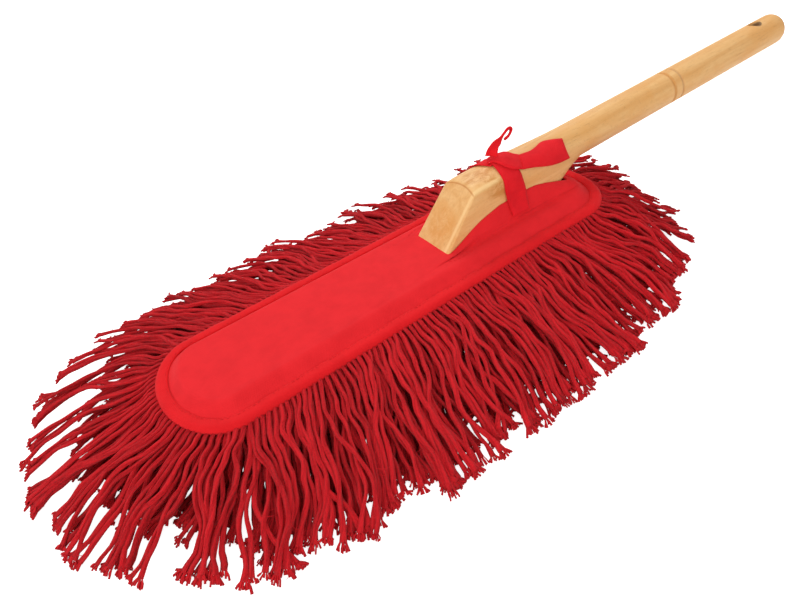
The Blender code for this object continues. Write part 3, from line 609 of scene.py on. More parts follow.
# %% Cotton yarn
def cotton_yarn(lay):
    """Soft yarn: streaks of fibre along it, three plies with a slow twist, its own tint.

    The plies are sin(2 pi (3 u + v / lay)) on the UV map, where lay is the length of one turn,
    so they wind round each strand, and the hollows between them get painted shade. The tone is
    0.45 fibres + 0.75 fluff + the strand's tint, which holds its own random tone and also painted
    shade and light: by layer, by side and at the ends."""
    finish, tree, shader = start_finish("cotton_yarn", 0.92, Sheen_Weight=0.05,
                                        Sheen_Roughness=0.45, Specular_IOR_Level=0.08)
    coordinates = node(tree, "ShaderNodeTexCoord").outputs
    parts = node(tree, "ShaderNodeSeparateXYZ", {"Vector": coordinates["UV"]}).outputs
    along = maths(tree, "MULTIPLY", parts["Y"], 2.0 * math.pi / lay)
    plies = maths(tree, "SINE", maths(tree, "MULTIPLY_ADD", parts["X"], 6.0 * math.pi, along))
    along_yarn = stretched(tree, coordinates["UV"], (16.0, 150.0, 1.0))
    fibres = noise(tree, along_yarn, 1.0, 3.0, 0.6, 0.3)
    fluff = noise(tree, coordinates["Object"], 760.0, 4.0, 0.70)
    tint = node(tree, "ShaderNodeAttribute", attribute_name="tint").outputs["Fac"]
    tone = maths(tree, "MULTIPLY_ADD", fibres, 0.45, tint)
    tone = maths(tree, "MULTIPLY_ADD", fluff, 0.75, tone)
    colour = mixed(tree, ranged(tree, tone, 0.55, 1.60), linear(180, 25, 32),
                   linear(252, 41, 50))
    # Painted shade in the hollows between the plies.
    colour = mixed(tree, ranged(tree, plies, -1.0, 0.0, 0.30, 0.0), colour, linear(142, 19, 26))
    tree.links.new(colour, shader.inputs["Base Color"])
    height = maths(tree, "MULTIPLY_ADD", fibres, 1.1, fluff)
    bumped(tree, shader, maths(tree, "MULTIPLY_ADD", plies, 0.30, height), 0.0011)
    glow = node(tree, "ShaderNodeBsdfTranslucent", {"Color": linear(214, 40, 46)})
    soft = node(tree, "ShaderNodeMixShader", {0: 0.16, 1: shader.outputs[0],
                                              2: glow.outputs[0]})
    tree.links.new(soft.outputs[0], tree.nodes["Material Output"].inputs["Surface"])
    return finish

yarn = cotton_yarn(0.021)
print("finish:", yarn.name)

# %% [markdown]
# ## Handle
#
# The handle is one length of light wood. Its foot is flat-sided with a slanted, softly rounded
# front and a slight crown, and behind the heel it is turned round, with two grooves round the
# grip, a domed end and a hanging hole. A lathe can't make the foot and a saw can't make the
# shaft, so the surface is one profile carried along X: each section is four quarter ellipses
# whose sizes ease from the foot's box to the shaft's circle. The hole is cut with a Boolean,
# which is applied, because its rim crosses the grid.

# %% Handle: sections from the foot to the dome
quarter_points = 16

def shaft_radius(place):
    """The turned shaft tapers evenly from the neck to the end."""
    return (neck_diameter + (end_diameter - neck_diameter) * place / handle_length) / 2


def foot_flare(place):
    """How much wider the foot's front gets at its base, fading out 32 mm behind the front."""
    return 0.0020 * (1.0 - ease(place, 0.006, 0.026))


def wood_section(place, shrink=0.0, scale=1.0):
    """Half width, top, bottom and corner sizes of the handle's section at each place.

    Each one is foot * (1 - b) + shaft * b, with b the smooth step across the heel; the
    crown has its own, longer step."""
    radius = shaft_radius(place) * scale - shrink
    axis = axis_height + place * math.tan(shaft_rise)
    crown = ease(place, crown_blend_start, crown_blend_length)
    heel = np.clip((place - foot_base_length) / heel_length, 0.0, 1.0)
    blend = ease(place, foot_base_length - heel_blend, heel_length + heel_blend)
    side = (foot_width / 2 - shrink) * (1 - blend) + radius * blend
    top = axis + radius
    low = foot_base + shrink
    bottom = low + (axis - radius - low) * heel
    top_high = foot_crown * (1 - crown) + radius * crown
    low_wide = foot_edge * (1 - blend) + side * blend
    low_high = foot_edge * (1 - blend) + (top - bottom - top_high) * blend
    return side, top, bottom, top_high, low_wide, low_high


def wood_rings(place, shrink, scale, lean):
    """Section points, y = centre + wide cos t and z = centre + high sin t in each quarter.

    Leaning rings move on by (z - foot base) / tan(chamfer angle), which slants the front."""
    side, top, bottom, top_high, low_wide, low_high = wood_section(place, shrink, scale)
    share = (np.arange(quarter_points) + 0.5) / quarter_points
    rings = []
    for wide, high, y_sign, z_sign, start in ((side, top_high, 1, 1, 0.0),
                                              (side, top_high, -1, 1, 0.5),
                                              (low_wide, low_high, -1, -1, 1.0),
                                              (low_wide, low_high, 1, -1, 1.5)):
        turn = math.pi * (start + 0.5 * share)[None, :]
        centre_z = np.where(z_sign > 0, top - high, bottom + high)[:, None]
        y = (y_sign * (side - wide))[:, None] + wide[:, None] * np.cos(turn)
        z = centre_z + high[:, None] * np.sin(turn)
        y = y + y_sign * foot_flare(place)[:, None] * (1.0 - ease(z - foot_base, 0.0, 0.024))
        rings.append(np.stack([np.broadcast_to((foot_front + place)[:, None], y.shape), y, z],
                              axis=-1))
    rings = np.concatenate(rings, axis=1)
    rings[..., 0] += lean[:, None] * (rings[..., 2] - foot_base) / math.tan(chamfer_angle)
    return rings


def handle_places():
    """Places along the handle with how far each ring is drawn in, scaled and leaned."""
    turn = np.linspace(0.0, np.pi / 2, 7)
    rounding = np.stack([chamfer_round * (1 - np.cos(turn)), chamfer_round * (1 - np.sin(turn)),
                         np.ones(7), np.ones(7)], axis=1)
    start = foot_height / math.tan(chamfer_angle) + 2 * chamfer_round
    shaft_end = handle_length - dome_length
    along = np.concatenate([np.linspace(start, 0.20, 64), np.linspace(0.205, 0.229, 4),
                            np.linspace(0.231, 0.252, 43), np.linspace(0.262, shaft_end, 12)])
    shrink = np.zeros(len(along))
    for groove in groove_places:
        away = np.abs(along - groove) / (groove_width / 2)
        shrink += groove_depth * (1 - ease(away, 0.25, 0.75))
    body = np.stack([along, shrink, np.ones(len(along)), np.zeros(len(along))], axis=1)
    dome = np.linspace(0.0, np.pi / 2, 11)[1:-1]
    end = np.stack([shaft_end + dome_length * np.sin(dome), np.zeros(9), np.cos(dome),
                    np.zeros(9)], axis=1)
    return np.concatenate([rounding, body, end]).T

# %% Handle: skin, hanging hole and finish
def hole_cutter(corners=40):
    """The hanging hole's shape: rings 4.5 mm in radius, flared and rounded at both mouths."""
    place = handle_length - hole_from_end
    radius = shaft_radius(place)
    middle = Vector((foot_front + place, 0.0, axis_height + place * math.tan(shaft_rise)))
    upper = np.array([radius + 0.002, radius, radius - 0.0011, radius - 0.0022])
    upper_wide = np.array([0.0072, 0.0057, 0.0049, 0.0045])
    heights = np.concatenate([upper, -upper[::-1]])
    wide = np.concatenate([upper_wide, upper_wide[::-1]])[:, None]
    rows = len(heights)
    turn = 2 * np.pi * np.arange(corners) / corners
    hole = np.stack([wide * np.cos(turn), wide * np.sin(turn),
                     np.broadcast_to(heights[:, None], (rows, corners))], axis=-1).reshape(-1, 3)
    tilt = Matrix.Rotation(hole_turn, 3, "X") @ Matrix.Rotation(-shaft_rise, 3, "Y")
    hole = hole @ np.array(tilt).T + np.array(middle)
    faces = [grid(rows, corners)[0], end_caps(rows, corners)]
    if enclosed(hole, faces) < 0:
        faces = [group[:, ::-1] for group in faces]
    mesh = bpy.data.meshes.new("hole_cutter")
    mesh.from_pydata(hole.tolist(), [], [row for group in faces for row in group.tolist()])
    cutter = bpy.data.objects.new("hole_cutter", mesh)
    bpy.context.scene.collection.objects.link(cutter)
    return cutter


def make_handle():
    """Carry the section along the handle, close both ends and bore the flared hole."""
    rings = wood_rings(*handle_places())
    rows, columns = rings.shape[:2]
    quads, places = grid(rows, columns)
    handle = make_piece("wooden_handle", rings, [quads, end_caps(rows, columns)],
                        [places / (columns, rows), rings[[0, -1]][..., 1:]], wood,
                        nodes=("handle",), slot="wood")
    cutter = hole_cutter()
    bore = handle.modifiers.new("hanging_hole", "BOOLEAN")
    bore.object = cutter
    bore.solver = "EXACT"
    shaped = bpy.data.meshes.new_from_object(
        handle.evaluated_get(bpy.context.evaluated_depsgraph_get()))
    handle.modifiers.clear()
    handle.data = shaped
    bpy.data.objects.remove(cutter)
    shaped.shade_smooth()
    shaped.set_sharp_from_angle(angle=math.radians(38.0))
    print("handle with its hole:", len(shaped.polygons), "faces")

make_handle()

# %% [markdown]
# ## Board and screws
#
# Under the cover lies a plywood board, screwed up into the foot. They are rigid, hidden, and
# right as the CAD has them, so their solids stay and only get their finish.

# %% Board and screws keep their solids
def refinish(name, finish):
    """Give a CAD solid its material."""
    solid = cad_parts[name]
    solid.data.materials.clear()
    solid.data.materials.append(finish)

refinish("head_board", plywood)
for place in ("front", "middle", "rear"):
    refinish("board_screw_" + place, steel)
print("board and screws keep their solids")

# %% [markdown]
# ## Cover
#
# The cover's top panel is a long oval of cotton cloth with a slit for the foot. The cloth
# stands up round the foot where the ties pull it, lies flat on the board and slopes to the
# bound rim. Blender's cloth tool could drape it, but a stretched cloth has a plain shape: its
# height depends on the distance to the slit and to the rim. So it is a grid whose columns run
# round the cover and whose rows run from the slit to the rim, over the top and back below.

# %% Outlines of the cover and its slit
cap_points = 24
edge_points = 6
side_points = 64
side_shares = np.linspace(0.0, 1.0, side_points, endpoint=False)

def half_width(x):
    """Half of the cover's width, which narrows evenly from front to rear."""
    share = (x - cover_front) / cover_length
    return (cover_front_width + (cover_rear_width - cover_front_width) * share) / 2


def both_sides(x, y):
    """A near half from the front tip to the rear one, and its mirror image back again."""
    near = np.stack([x, y], axis=1)
    return np.concatenate([near, near[1:-1][::-1] * (1.0, -1.0)])


def cover_oval(inset):
    """The outline moved in by inset: y = -(half width - inset) s, with s = sin t on the ends."""
    turn = np.linspace(0.0, np.pi / 2, cap_points + 1)
    along = cover_cap_length - inset
    front_corner = cover_front + cover_cap_length
    straight = cover_length - 2 * cover_cap_length
    x = np.concatenate([front_corner - along * np.cos(turn[:-1]),
                        front_corner + straight * side_shares,
                        front_corner + straight + along * np.sin(turn)])
    share = np.concatenate([np.sin(turn[:-1]), np.ones(side_points), np.cos(turn)])
    share[-1] = 0.0
    return both_sides(x, -(half_width(x) - inset) * share)


def slit_line(out):
    """The slit, a rounded rectangle against the foot, moved out; it has as many points too.

    Its near and far sides bow out by up to 1.9 mm at the front, as the foot's base does."""
    front = foot_front + slit_corner - out
    rear = foot_front + foot_base_length + slit_rear_room + out
    side = foot_width / 2 + slit_gap + out
    radius = slit_corner + out
    flat = side - radius
    corner = np.linspace(0.0, np.pi / 2, cap_points - edge_points, endpoint=False)
    edge = np.linspace(0.0, 1.0, edge_points, endpoint=False)
    back = np.linspace(0.0, 1.0, edge_points + 1)
    flare = 0.0019 * (1.0 - ease(side_shares, 0.02, 0.24))
    x = np.concatenate([np.full(edge_points, front), front + radius - radius * np.cos(corner),
                        front + radius + (rear - front - 2 * radius) * side_shares,
                        rear - radius + radius * np.sin(corner), np.full(edge_points + 1, rear)])
    y = np.concatenate([-(flat + flare[0]) * edge, -flat - flare[0] - radius * np.sin(corner),
                        -side - flare, -flat - radius * np.cos(corner), -flat * (1.0 - back)])
    return both_sides(x, y)


def lip_rise(x):
    """How far the slit's edge stands up: up to the ties, level behind them, down to the heel."""
    places = (-0.0475, -0.0250, -0.0080, 0.0026, 0.0270, 0.0360, 0.0464, 0.0580, 0.0680)
    rises = (-0.0008, 0.0066, 0.0118, 0.0145, 0.0145, 0.0143, 0.0120, 0.0078, 0.0042)
    return np.interp(x, places, rises)

outline = cover_oval(0.0)
print("cover outline:", len(outline), "points, half width", round(float(-outline[:, 1].min()), 4))

# %% Height of the cloth
def wall_share(away, x):
    """1 at the slit, then 0.8 exp(-(away / steep)^1.6) + 0.2 of an easing curve over 12 mm.

    The steep part is 2.4 mm at the ties and grows towards the heel, where the cloth slopes."""
    steep = 0.0024 + 0.0050 * ease(x, 0.034, 0.030)
    return 0.80 * np.exp(-(away / steep) ** 1.6) + 0.20 * (1.0 - ease(away, 0.0, 0.0120))


def cloth_height(points, slit, inset):
    """Board height, minus the smooth slope to the rim, plus the wall that stands at the slit.

    Faint slack waves ripple it, and the stitches pull in a groove, exp(-(distance / width)^2)."""
    away = np.linalg.norm(points - slit, axis=-1)
    slope = ease(slope_inset - inset, 0.0, slope_inset - 0.0060)
    slack = 0.00035 * np.sin(points[..., 0] * 140.0 + 1.0) * np.sin(points[..., 1] * 95.0)
    seam = 0.00085 * np.exp(-((away - slit_stitch_out) / 0.0011) ** 2)
    top = cover_top_height - 0.0010 * ease(away, 0.0075, 0.0120)
    return (top - (top - rim_top) * slope
            + lip_rise(slit[..., 0]) * wall_share(away, slit[..., 0]) + slack - seam)


def make_cover():
    """Rows from the slit to the rim on top, then back underneath, joined into one skin."""
    slit = slit_line(0.0)
    near_slit = [slit_line(out) for out in (0.0, 0.0005, 0.0011, 0.0018, 0.0026, 0.0035)]
    inner, outer = near_slit[-1], cover_oval(slope_inset)
    spread = np.linspace(0.0, 1.0, 27)[1:-1] ** 1.25
    rows = near_slit + [inner + (outer - inner) * share for share in spread]
    slope = np.linspace(slope_inset, rim_inset, 15)
    inset = np.concatenate([np.full(len(rows), slope_inset), slope])[:, None]
    plan = np.stack(rows + [cover_oval(inward) for inward in slope])
    top = raised(plan, cloth_height(plan, slit[None], inset))
    middle = top - (0.0, 0.0, cloth_thickness / 2)
    under = top - (0.0, 0.0, cloth_thickness)
    skin = np.concatenate([middle[:1], top, middle[-1:], under[::-1]])
    skin[0, :, :2] += slit - slit_line(0.0005)
    count, columns = skin.shape[:2]
    quads, places = grid(count, columns, round_rows=True)
    return make_piece("cover_top_panel", skin, [quads], [places / (columns, count)],
                      cover_cloth, nodes=("cover_top",), slot="cover_cloth")

cover_panel = make_cover()

# %% [markdown]
# ## Backing, facing and binding
#
# Below the board a flat backing closes the cover. A facing strip is sewn under the slit, and
# a folded tape binds the rim, catching the top, the backing and the yarn in one seam. Each is
# a small profile carried along the outline.

# %% Backing and slit facing
def make_backing():
    """A flat panel: rows from the middle line to the rim, below and above, in one skin.

    Strips join the rows' near and far halves across the middle line, with a triangle at each
    end of it."""
    shares = np.array([0.0, 0.25, 0.5, 0.72, 0.88, 1.0])
    rim = cover_oval(rim_inset)
    spine = rim * (0.9, 0.0)
    spine[:, 0] = np.clip(rim[:, 0], cover_front + 0.045, cover_front + cover_length - 0.045)
    plan = spine + (rim - spine) * shares[1:, None, None]
    low = raised(plan, backing_bottom)
    high = low + (0.0, 0.0, cloth_thickness)
    half = len(rim) // 2
    skin = np.concatenate([low, high[::-1]])
    count, columns = skin.shape[:2]
    quads = grid(count, columns)[0][:, ::-1]
    near = np.arange(1, half)
    far = columns - near
    inner = []
    for row in (0, count - 1):
        base = row * columns
        strip = np.stack([base + near[:-1], base + near[1:], base + far[1:], base + far[:-1]], 1)
        inner.append(strip if row == 0 else strip[:, ::-1])
    ends = np.array([[0, 1, columns - 1], [half, half + 1, half - 1]])
    last = (count - 1) * columns
    ends = np.concatenate([ends, (ends + last)[:, ::-1]])
    faces = [np.concatenate([quads, *inner]), ends]
    flat = skin.reshape(-1, 3)[:, :2]
    return make_piece("cover_backing_panel", skin, faces, [flat[group] for group in faces],
                      cover_cloth, nodes=("cover_backing",), slot="cover_cloth")


def banded(profile):
    """A closed ring from a list of (outline, height) corners, and its UV map in metres."""
    rows = np.stack([raised(path, height) for path, height in profile])
    quads, places = grid(*rows.shape[:2], round_rows=True)
    along = travelled(ring_of(rows[0]))[places[..., 0].astype(int)]
    return rows, [quads], [np.stack([along, places[..., 1] * 0.0012], axis=-1)]


def make_facing():
    """A flat strip under the slit's edge, 0.8 mm thick."""
    inner, outer = slit_line(0.0003), slit_line(0.0065)
    low, high = 0.0427, 0.0435
    skin = banded([(inner, low), (outer, low), (outer, high), (inner, high)])
    return make_piece("slit_facing_strip", *skin, cover_cloth,
                      nodes=("slit_facing",), slot="cover_cloth")

backing_panel = make_backing()
facing_strip = make_facing()

# %% Binding round the rim
def binding_top(inset):
    """Height of the tape's upper face: rolled over the rim, then flat on the cloth."""
    return np.interp(inset, (-0.0010, 0.0003, 0.0014, 0.0028, 0.0046, 0.0070, 0.0074),
                     (0.0364, 0.0382, 0.0388, 0.0390, 0.0388, 0.0385, 0.0381))


def make_binding():
    """A folded tape, C-shaped in section: over the cover's edge, round it and underneath."""
    around = np.arange(len(outline)) * 1.0
    pucker = 0.00012 * np.sin(around * 2.1) + 0.00010 * np.sin(around * 0.9 + 1.0)
    insets = (binding_width, 0.0070, 0.0058, 0.0042, 0.0028, 0.0016, 0.0006, -0.0003, -0.0010)
    profile = [(cover_oval(inset), binding_top(inset) + pucker * (inset > 0.0))
               for inset in insets]
    for inset, height in ((-0.0011, 0.0352), (-0.0007, 0.0341), (0.0006, 0.0334),
                          (0.0062, 0.0334), (0.0062, 0.0342), (0.0004, 0.0342),
                          (0.0002, 0.0368), (0.0006, 0.0374), (binding_width, 0.0374)):
        profile.append((cover_oval(inset), height))
    return make_piece("rim_binding", *banded(profile), binding_cloth,
                      nodes=("edge_binding",), slot="binding_cloth")

binding = make_binding()

# %% [markdown]
# ## Stitches
#
# Two lines of stitches show: one just inside the binding's edge, and one round the slit that
# holds the facing. Each stitch is a short soft thread that dips into the cloth at both ends.
# A dashed line in a material would stay flat in the light, and a few hundred tiny tubes with
# few faces cost little.

# %% Stitch lines
def evenly(path, pitch):
    """Points at an even pitch round a closed path in the plane, and how far along each one is."""
    ring = ring_of(path)
    along = travelled(ring)
    count = round(along[-1] / pitch)
    spots = np.arange(count) * along[-1] / count
    return on_path(spots, along, ring), spots


def stitch_line(name, points, share, finish, slot, radius):
    """Tubes that cover a share of the way from each point to the next, round a closed line.

    Each is bowed up by a hump of sin(pi s), and thinner where it dips into the cloth."""
    hump = np.array([0.0, 0.22, 0.5, 0.78, 1.0])
    run = (np.roll(points, -1, axis=0) - points) * share
    centres = points[:, None] + run[:, None] * hump[None, :, None]
    centres[..., 2] += radius * (1.3 * np.sin(np.pi * hump) - 0.7)
    side, over = directions(centres)
    thick = np.broadcast_to(radius * np.array([0.5, 0.95, 1.0, 0.95, 0.5]), centres.shape[:2])
    return make_piece(name, *tubes(centres, side, over, thick * 1.3, thick, 5), finish, slot=slot)


def rim_stitches():
    """Stitches 3.2 mm apart along the binding, a little in from its inner edge."""
    spots = evenly(cover_oval(rim_stitch_inset), 0.0032)[0]
    points = raised(spots, binding_top(rim_stitch_inset) - 0.00005)
    return stitch_line("binding_stitches", points, 0.72, binding_cloth, "binding_cloth", 0.00014)


def facing_stitches():
    """Stitches 3.4 mm apart round the slit, on the cloth as it lies there."""
    spots = evenly(slit_line(slit_stitch_out), 0.0034)[0]
    slit = slit_line(0.0)
    nearest = np.argmin(np.linalg.norm(spots[:, None] - slit[None], axis=2), axis=1)
    points = raised(spots, cloth_height(spots, slit[nearest], slope_inset))
    return stitch_line("facing_stitches", points, 0.70, cover_cloth, "cover_cloth", 0.00013)

rim_thread = rim_stitches()
facing_thread = facing_stitches()

# %% [markdown]
# ## Ties
#
# Two cotton tapes are sewn beside the slit. They go up the foot's sides and are knotted on
# top; one free end lies back over the neck and hangs to the near side, the other curls up.
# A tape is a strip that keeps its width while it bends, so each one is a centre line with a
# direction across it. The wrapped parts follow the wood's own surface, a hair outside it.

# %% Tape helpers
def even_path(points, count, rounds=3):
    """Points at even steps along a bent line, smoothed by averaging each with its neighbours."""
    points = np.asarray(points, dtype=float)
    for again in range(2):
        along = travelled(points)
        points = smoothed(on_path(np.linspace(0.0, along[-1], count), along, points), rounds)
    return points


def two_faced(middle, normal, edge, wide, along):
    """A thin strip's skin: its two faces lie edge away from the middle surface.

    wide and along are its UV map: metres across for each column, and along for each row."""
    skin = np.concatenate([middle + normal * edge, (middle - normal * edge)[:, ::-1]], axis=1)
    rows, count = skin.shape[:2]
    column = np.arange(count // 2 - 1)
    caps = [np.stack([base + column, base + column + 1, base + count - 2 - column,
                      base + count - 1 - column], axis=1)[:, ::step]
            for base, step in ((0, -1), ((rows - 1) * count, 1))]
    faces = np.concatenate([grid(rows, count)[0], *caps])
    wide = np.concatenate([wide, wide[::-1]])
    uv = np.stack([wide[faces % count], along[faces // count]], axis=-1)
    return skin, [faces], [uv]


def tape_skin(centres, across, width, thickness=0.0008, columns=9, fold=0.0, hem=0.0):
    """A strip: centre + across w s, lifted by fold cos(pi s), with its two faces apart.

    width may change along the strip; hem thickens the strip near both edges."""
    centres = np.asarray(centres, dtype=float)
    across = np.broadcast_to(np.asarray(across, dtype=float), centres.shape)
    tangent = unit(np.gradient(centres, axis=0))
    across = unit(across - tangent * np.sum(across * tangent, axis=1, keepdims=True))
    normal = np.cross(tangent, across)[:, None]
    share = np.linspace(-1.0, 1.0, columns)
    half = np.broadcast_to(np.asarray(width, dtype=float) / 2, (len(centres),))[:, None, None]
    lift = np.broadcast_to(np.asarray(fold, dtype=float), (len(centres),))[:, None]
    middle = (centres[:, None] + across[:, None] * share[None, :, None] * half
              + normal * (lift * np.cos(np.pi * share)[None, :])[..., None])
    edge = (1.0 - 0.55 * ease(np.abs(share), 0.86, 0.14)
            + hem * np.exp(-((np.abs(share) - 0.86) / 0.08) ** 2))
    edge = (np.broadcast_to(thickness, (len(centres),))[:, None] / 2 * edge)[..., None]
    return two_faced(middle, normal, edge, share * float(np.max(half)), travelled(centres))

# %% Tape laid on the wood
def over_wood(place, turn, out):
    """A point out from the wood: turn 0 is the far side, pi the near one, more runs down it."""
    place, turn = np.broadcast_arrays(np.asarray(place, float), np.asarray(turn, float))
    side, top, _, top_high = wood_section(place)[:4]
    below = np.maximum(turn - math.pi, 0.0) * side
    held = np.minimum(turn, math.pi)
    normal = unit(np.stack([np.zeros_like(held), np.cos(held) / side,
                            np.sin(held) / top_high], axis=-1))
    spot = np.stack([foot_front + place, side * np.cos(held),
                     top - top_high + top_high * np.sin(held) - below], axis=-1)
    return spot + normal * np.asarray(out)[..., None]


def tape_on_wood(name, first, second, out, thickness, bulge, node_name, body="duster", bend=None):
    """A tape laid on the wood; first and second hold (place, turn / pi) along its two edges.

    Its middle surface is the wood's own, pushed out by out + bulge sin(pi s) sin(pi w)."""
    rows, columns = 36, 13
    share = np.linspace(0.0, 1.0, rows)
    spots = np.linspace(0.0, 1.0, len(first))
    edges = [smoothed(on_path(share, spots, np.array(edge)), 6) for edge in (first, second)]
    across = np.linspace(0.0, 1.0, columns)
    places, turns = (edges[0][:, [axis]] * (1 - across) + edges[1][:, [axis]] * across
                     for axis in (0, 1))
    places = places - 0.0022 * (share ** 4)[:, None] * np.sin(np.pi * across)
    swell = np.sin(np.pi * share)[:, None] * np.sin(np.pi * across)
    lift = np.interp(share, np.linspace(0.0, 1.0, len(out)), out)[:, None] + bulge * swell
    middle = over_wood(places, math.pi * turns, lift)
    normal = unit(np.cross(np.gradient(middle, axis=0), np.gradient(middle, axis=1)))
    from_middle = np.abs(across * 2 - 1)
    edge = thickness / 2 * (1.0 + 0.3 * np.exp(-((from_middle - 0.84) / 0.08) ** 2))
    edge = (edge * (1.0 - 0.6 * ease(from_middle, 0.90, 0.10)))[:, None]
    edge = edge * (1.0 - 0.5 * ease(share, 0.88, 0.12))[:, None, None]
    skin = two_faced(middle, normal, edge, across * tape_width, np.arange(rows) * 0.042 / rows)
    return make_piece(name, *skin, tie_tape, body=body, nodes=(node_name,), slot="tie_tape",
                      bend=bend)

# %% Tie legs
tie_place = 0.0640
tape_width = 0.0158

def make_leg(name, sign, node_name, along, widths, last_turn, top_out):
    """Sewn on the cloth beside the slit, up the lip, over the wood's corner, under the knot.

    along and widths are its place in X and its width at 0, 0.22, 0.45, 0.64, 0.86 and 1."""
    away = np.linspace(0.0046, 0.0003, 8)
    spot = foot_front + tie_place
    rise = float(lip_rise(np.array(spot)))
    low = np.stack([np.zeros(8), sign * (foot_width / 2 + slit_gap + away + 0.0007),
                    cover_top_height + rise * wall_share(away, spot) + 0.0008], axis=1)
    turns = np.linspace(0.0, math.pi * last_turn, 20)
    out = 0.0011 + (top_out - 0.0011) * ease(turns, math.pi * 0.25, math.pi * 0.2)
    high = over_wood(np.full(20, tie_place), turns if sign > 0 else math.pi - turns, out)
    path = even_path(np.concatenate([low, high]), 48)
    share = np.linspace(0.0, 1.0, 48)
    knots = (0.0, 0.22, 0.45, 0.64, 0.86, 1.0)
    path[:, 0] = smoothed(np.interp(share, knots, along), 5)
    width = np.interp(share, knots, widths)
    skin = tape_skin(path, (1.0, 0.0, 0.0), width, hem=0.3, fold=0.0002 * np.sin(share * 7.0))
    return make_piece(name, *skin, tie_tape, nodes=(node_name,), slot="tie_tape")

make_leg("near_tie_leg", -1, "tie_near_leg", (0.0175, 0.0176, 0.0162, 0.0157, 0.0172, 0.0180),
         (0.0152, 0.0174, 0.0166, 0.0152, 0.0122, 0.0110), 0.60, 0.0017)
make_leg("far_tie_leg", 1, "tie_far_leg", (0.0150, 0.0142, 0.0122, 0.0112, 0.0130, 0.0150),
         (0.0152, 0.0165, 0.0160, 0.0140, 0.0116, 0.0100), 0.50, 0.0009)

# %% Knot and the two free ends
tape_on_wood("tie_knot_bands",
             ((0.0620, 0.370), (0.0660, 0.393), (0.0703, 0.422), (0.0745, 0.450),
              (0.0760, 0.550), (0.0812, 0.640)),
             ((0.0567, 0.477), (0.0602, 0.517), (0.0610, 0.618), (0.0620, 0.720),
              (0.0653, 0.821), (0.0752, 0.905)),
             (0.0026, 0.0032, 0.0034, 0.0030, 0.0015), 0.0017, 0.0009, "tie_knot")
tape_on_wood("tie_long_tail_tape",
             ((0.0782, 0.618), (0.0845, 0.642), (0.0880, 0.652), (0.0945, 0.629),
              (0.1012, 0.582), (0.1085, 0.632), (0.1170, 0.705)),
             ((0.0728, 0.895), (0.0790, 0.920), (0.0828, 0.932), (0.0912, 0.980),
              (0.0975, 1.012), (0.1075, 1.035), (0.1180, 1.050)),
             (0.0023, 0.0023, 0.0018, 0.0015), 0.0008, 0.0014, "tie_long_tail",
             body="long_tail", bend=((0.0325, -0.006, 0.080), (0.0500, -0.006, 0.080)))


def make_curled_tail():
    """The short end: it stands up from the knot, twists edge-on, loops over and comes back."""
    points = ((0.0156, 0.0034, 0.0842), (0.0160, 0.0030, 0.0876), (0.0184, 0.0026, 0.0912),
              (0.0225, 0.0020, 0.0940), (0.0264, 0.0020, 0.0967), (0.0300, 0.0020, 0.0989),
              (0.0322, 0.0018, 0.0992), (0.0331, 0.0014, 0.0980), (0.0318, 0.0010, 0.0962),
              (0.0293, 0.0006, 0.0944), (0.0260, 0.0004, 0.0938))
    path = even_path(points, 44, 1)
    share = np.linspace(0.0, 1.0, 44)[:, None]
    twist = ease(share, 0.22, 0.30)
    across = ((1 - twist) * np.array((0.52, -0.70, -0.48))
              + twist * np.array((0.37, 0.70, -0.61)))
    width = np.interp(share[:, 0], (0.0, 0.10, 0.25, 0.45, 1.0),
                      (0.0092, 0.0078, 0.0056, 0.0042, 0.0038))
    thick = 0.0009 + 0.0010 * ease(share[:, 0], 0.25, 0.25)
    skin = tape_skin(path, across, width, thick, fold=0.0006 * (1 - twist[:, 0]))
    return make_piece("tie_curled_tail_tape", *skin, tie_tape, body="curled_tail",
                      nodes=("tie_curled_tail",), slot="tie_tape",
                      bend=((0.0157, 0.003, 0.0855), (0.0205, 0.003, 0.0925)))

make_curled_tail()

# %% [markdown]
# ## Yarn
#
# The mop is some fifteen hundred cotton yarns, 3 to 4 mm thick, cut to nearly one length.
# They leave the rim side by side, lean towards the nearer end of the duster, sink to the
# table, and wander: neighbours move alike, small groups draw together and leave holes, and
# a few drift across the rest. Their cut ends open into little brushes. Blender's hair could
# do it, but it isn't a mesh and can't be checked for size. Here the whole row is computed at
# once: every strand is a path of points, and the paths become tubes.

# %% Roots of the yarn and its lean
def rim_points(inset, start, end, pitch, phase=0.5):
    """Roots at an even pitch between two shares of the outline, with their outward normals."""
    path, spots = evenly(cover_oval(inset), 0.0005)
    total = spots[-1] + spots[1]
    count = round((end - start) * total / pitch)
    along = (start + (end - start) * (np.arange(count) + phase) / count) * total
    ring = np.concatenate([path[-40:], path, path[:41]])
    places = np.concatenate([spots[-40:] - total, spots, spots[:41] + total])
    roots = on_path(along % total, places, ring)
    tangent = unit(on_path((along % total) + 0.002, places, ring) - roots)
    return roots, np.stack([tangent[:, 1], -tangent[:, 0]], axis=1)


def lean_angle(roots, normals):
    """Turn from the outward normal: up to 33 degrees forwards, and 28 rearwards at the rear."""
    upright = foot_front + 0.056
    front = cover_front + cover_cap_length
    rear = cover_front + cover_length - cover_cap_length
    forwards = -math.radians(33.0) * np.clip((upright - roots[:, 0]) / (upright - front), 0, 1)
    rearwards = math.radians(28.0) * np.clip((roots[:, 0] - upright) / (rear - upright), 0, 1)
    lean = np.where(roots[:, 0] < upright, forwards, rearwards)
    lean = lean * (1.0 - np.arccos(np.clip(np.abs(normals[:, 1]), 0, 1)) / (np.pi / 2))
    return np.where(roots[:, 1] < 0, lean, -lean)


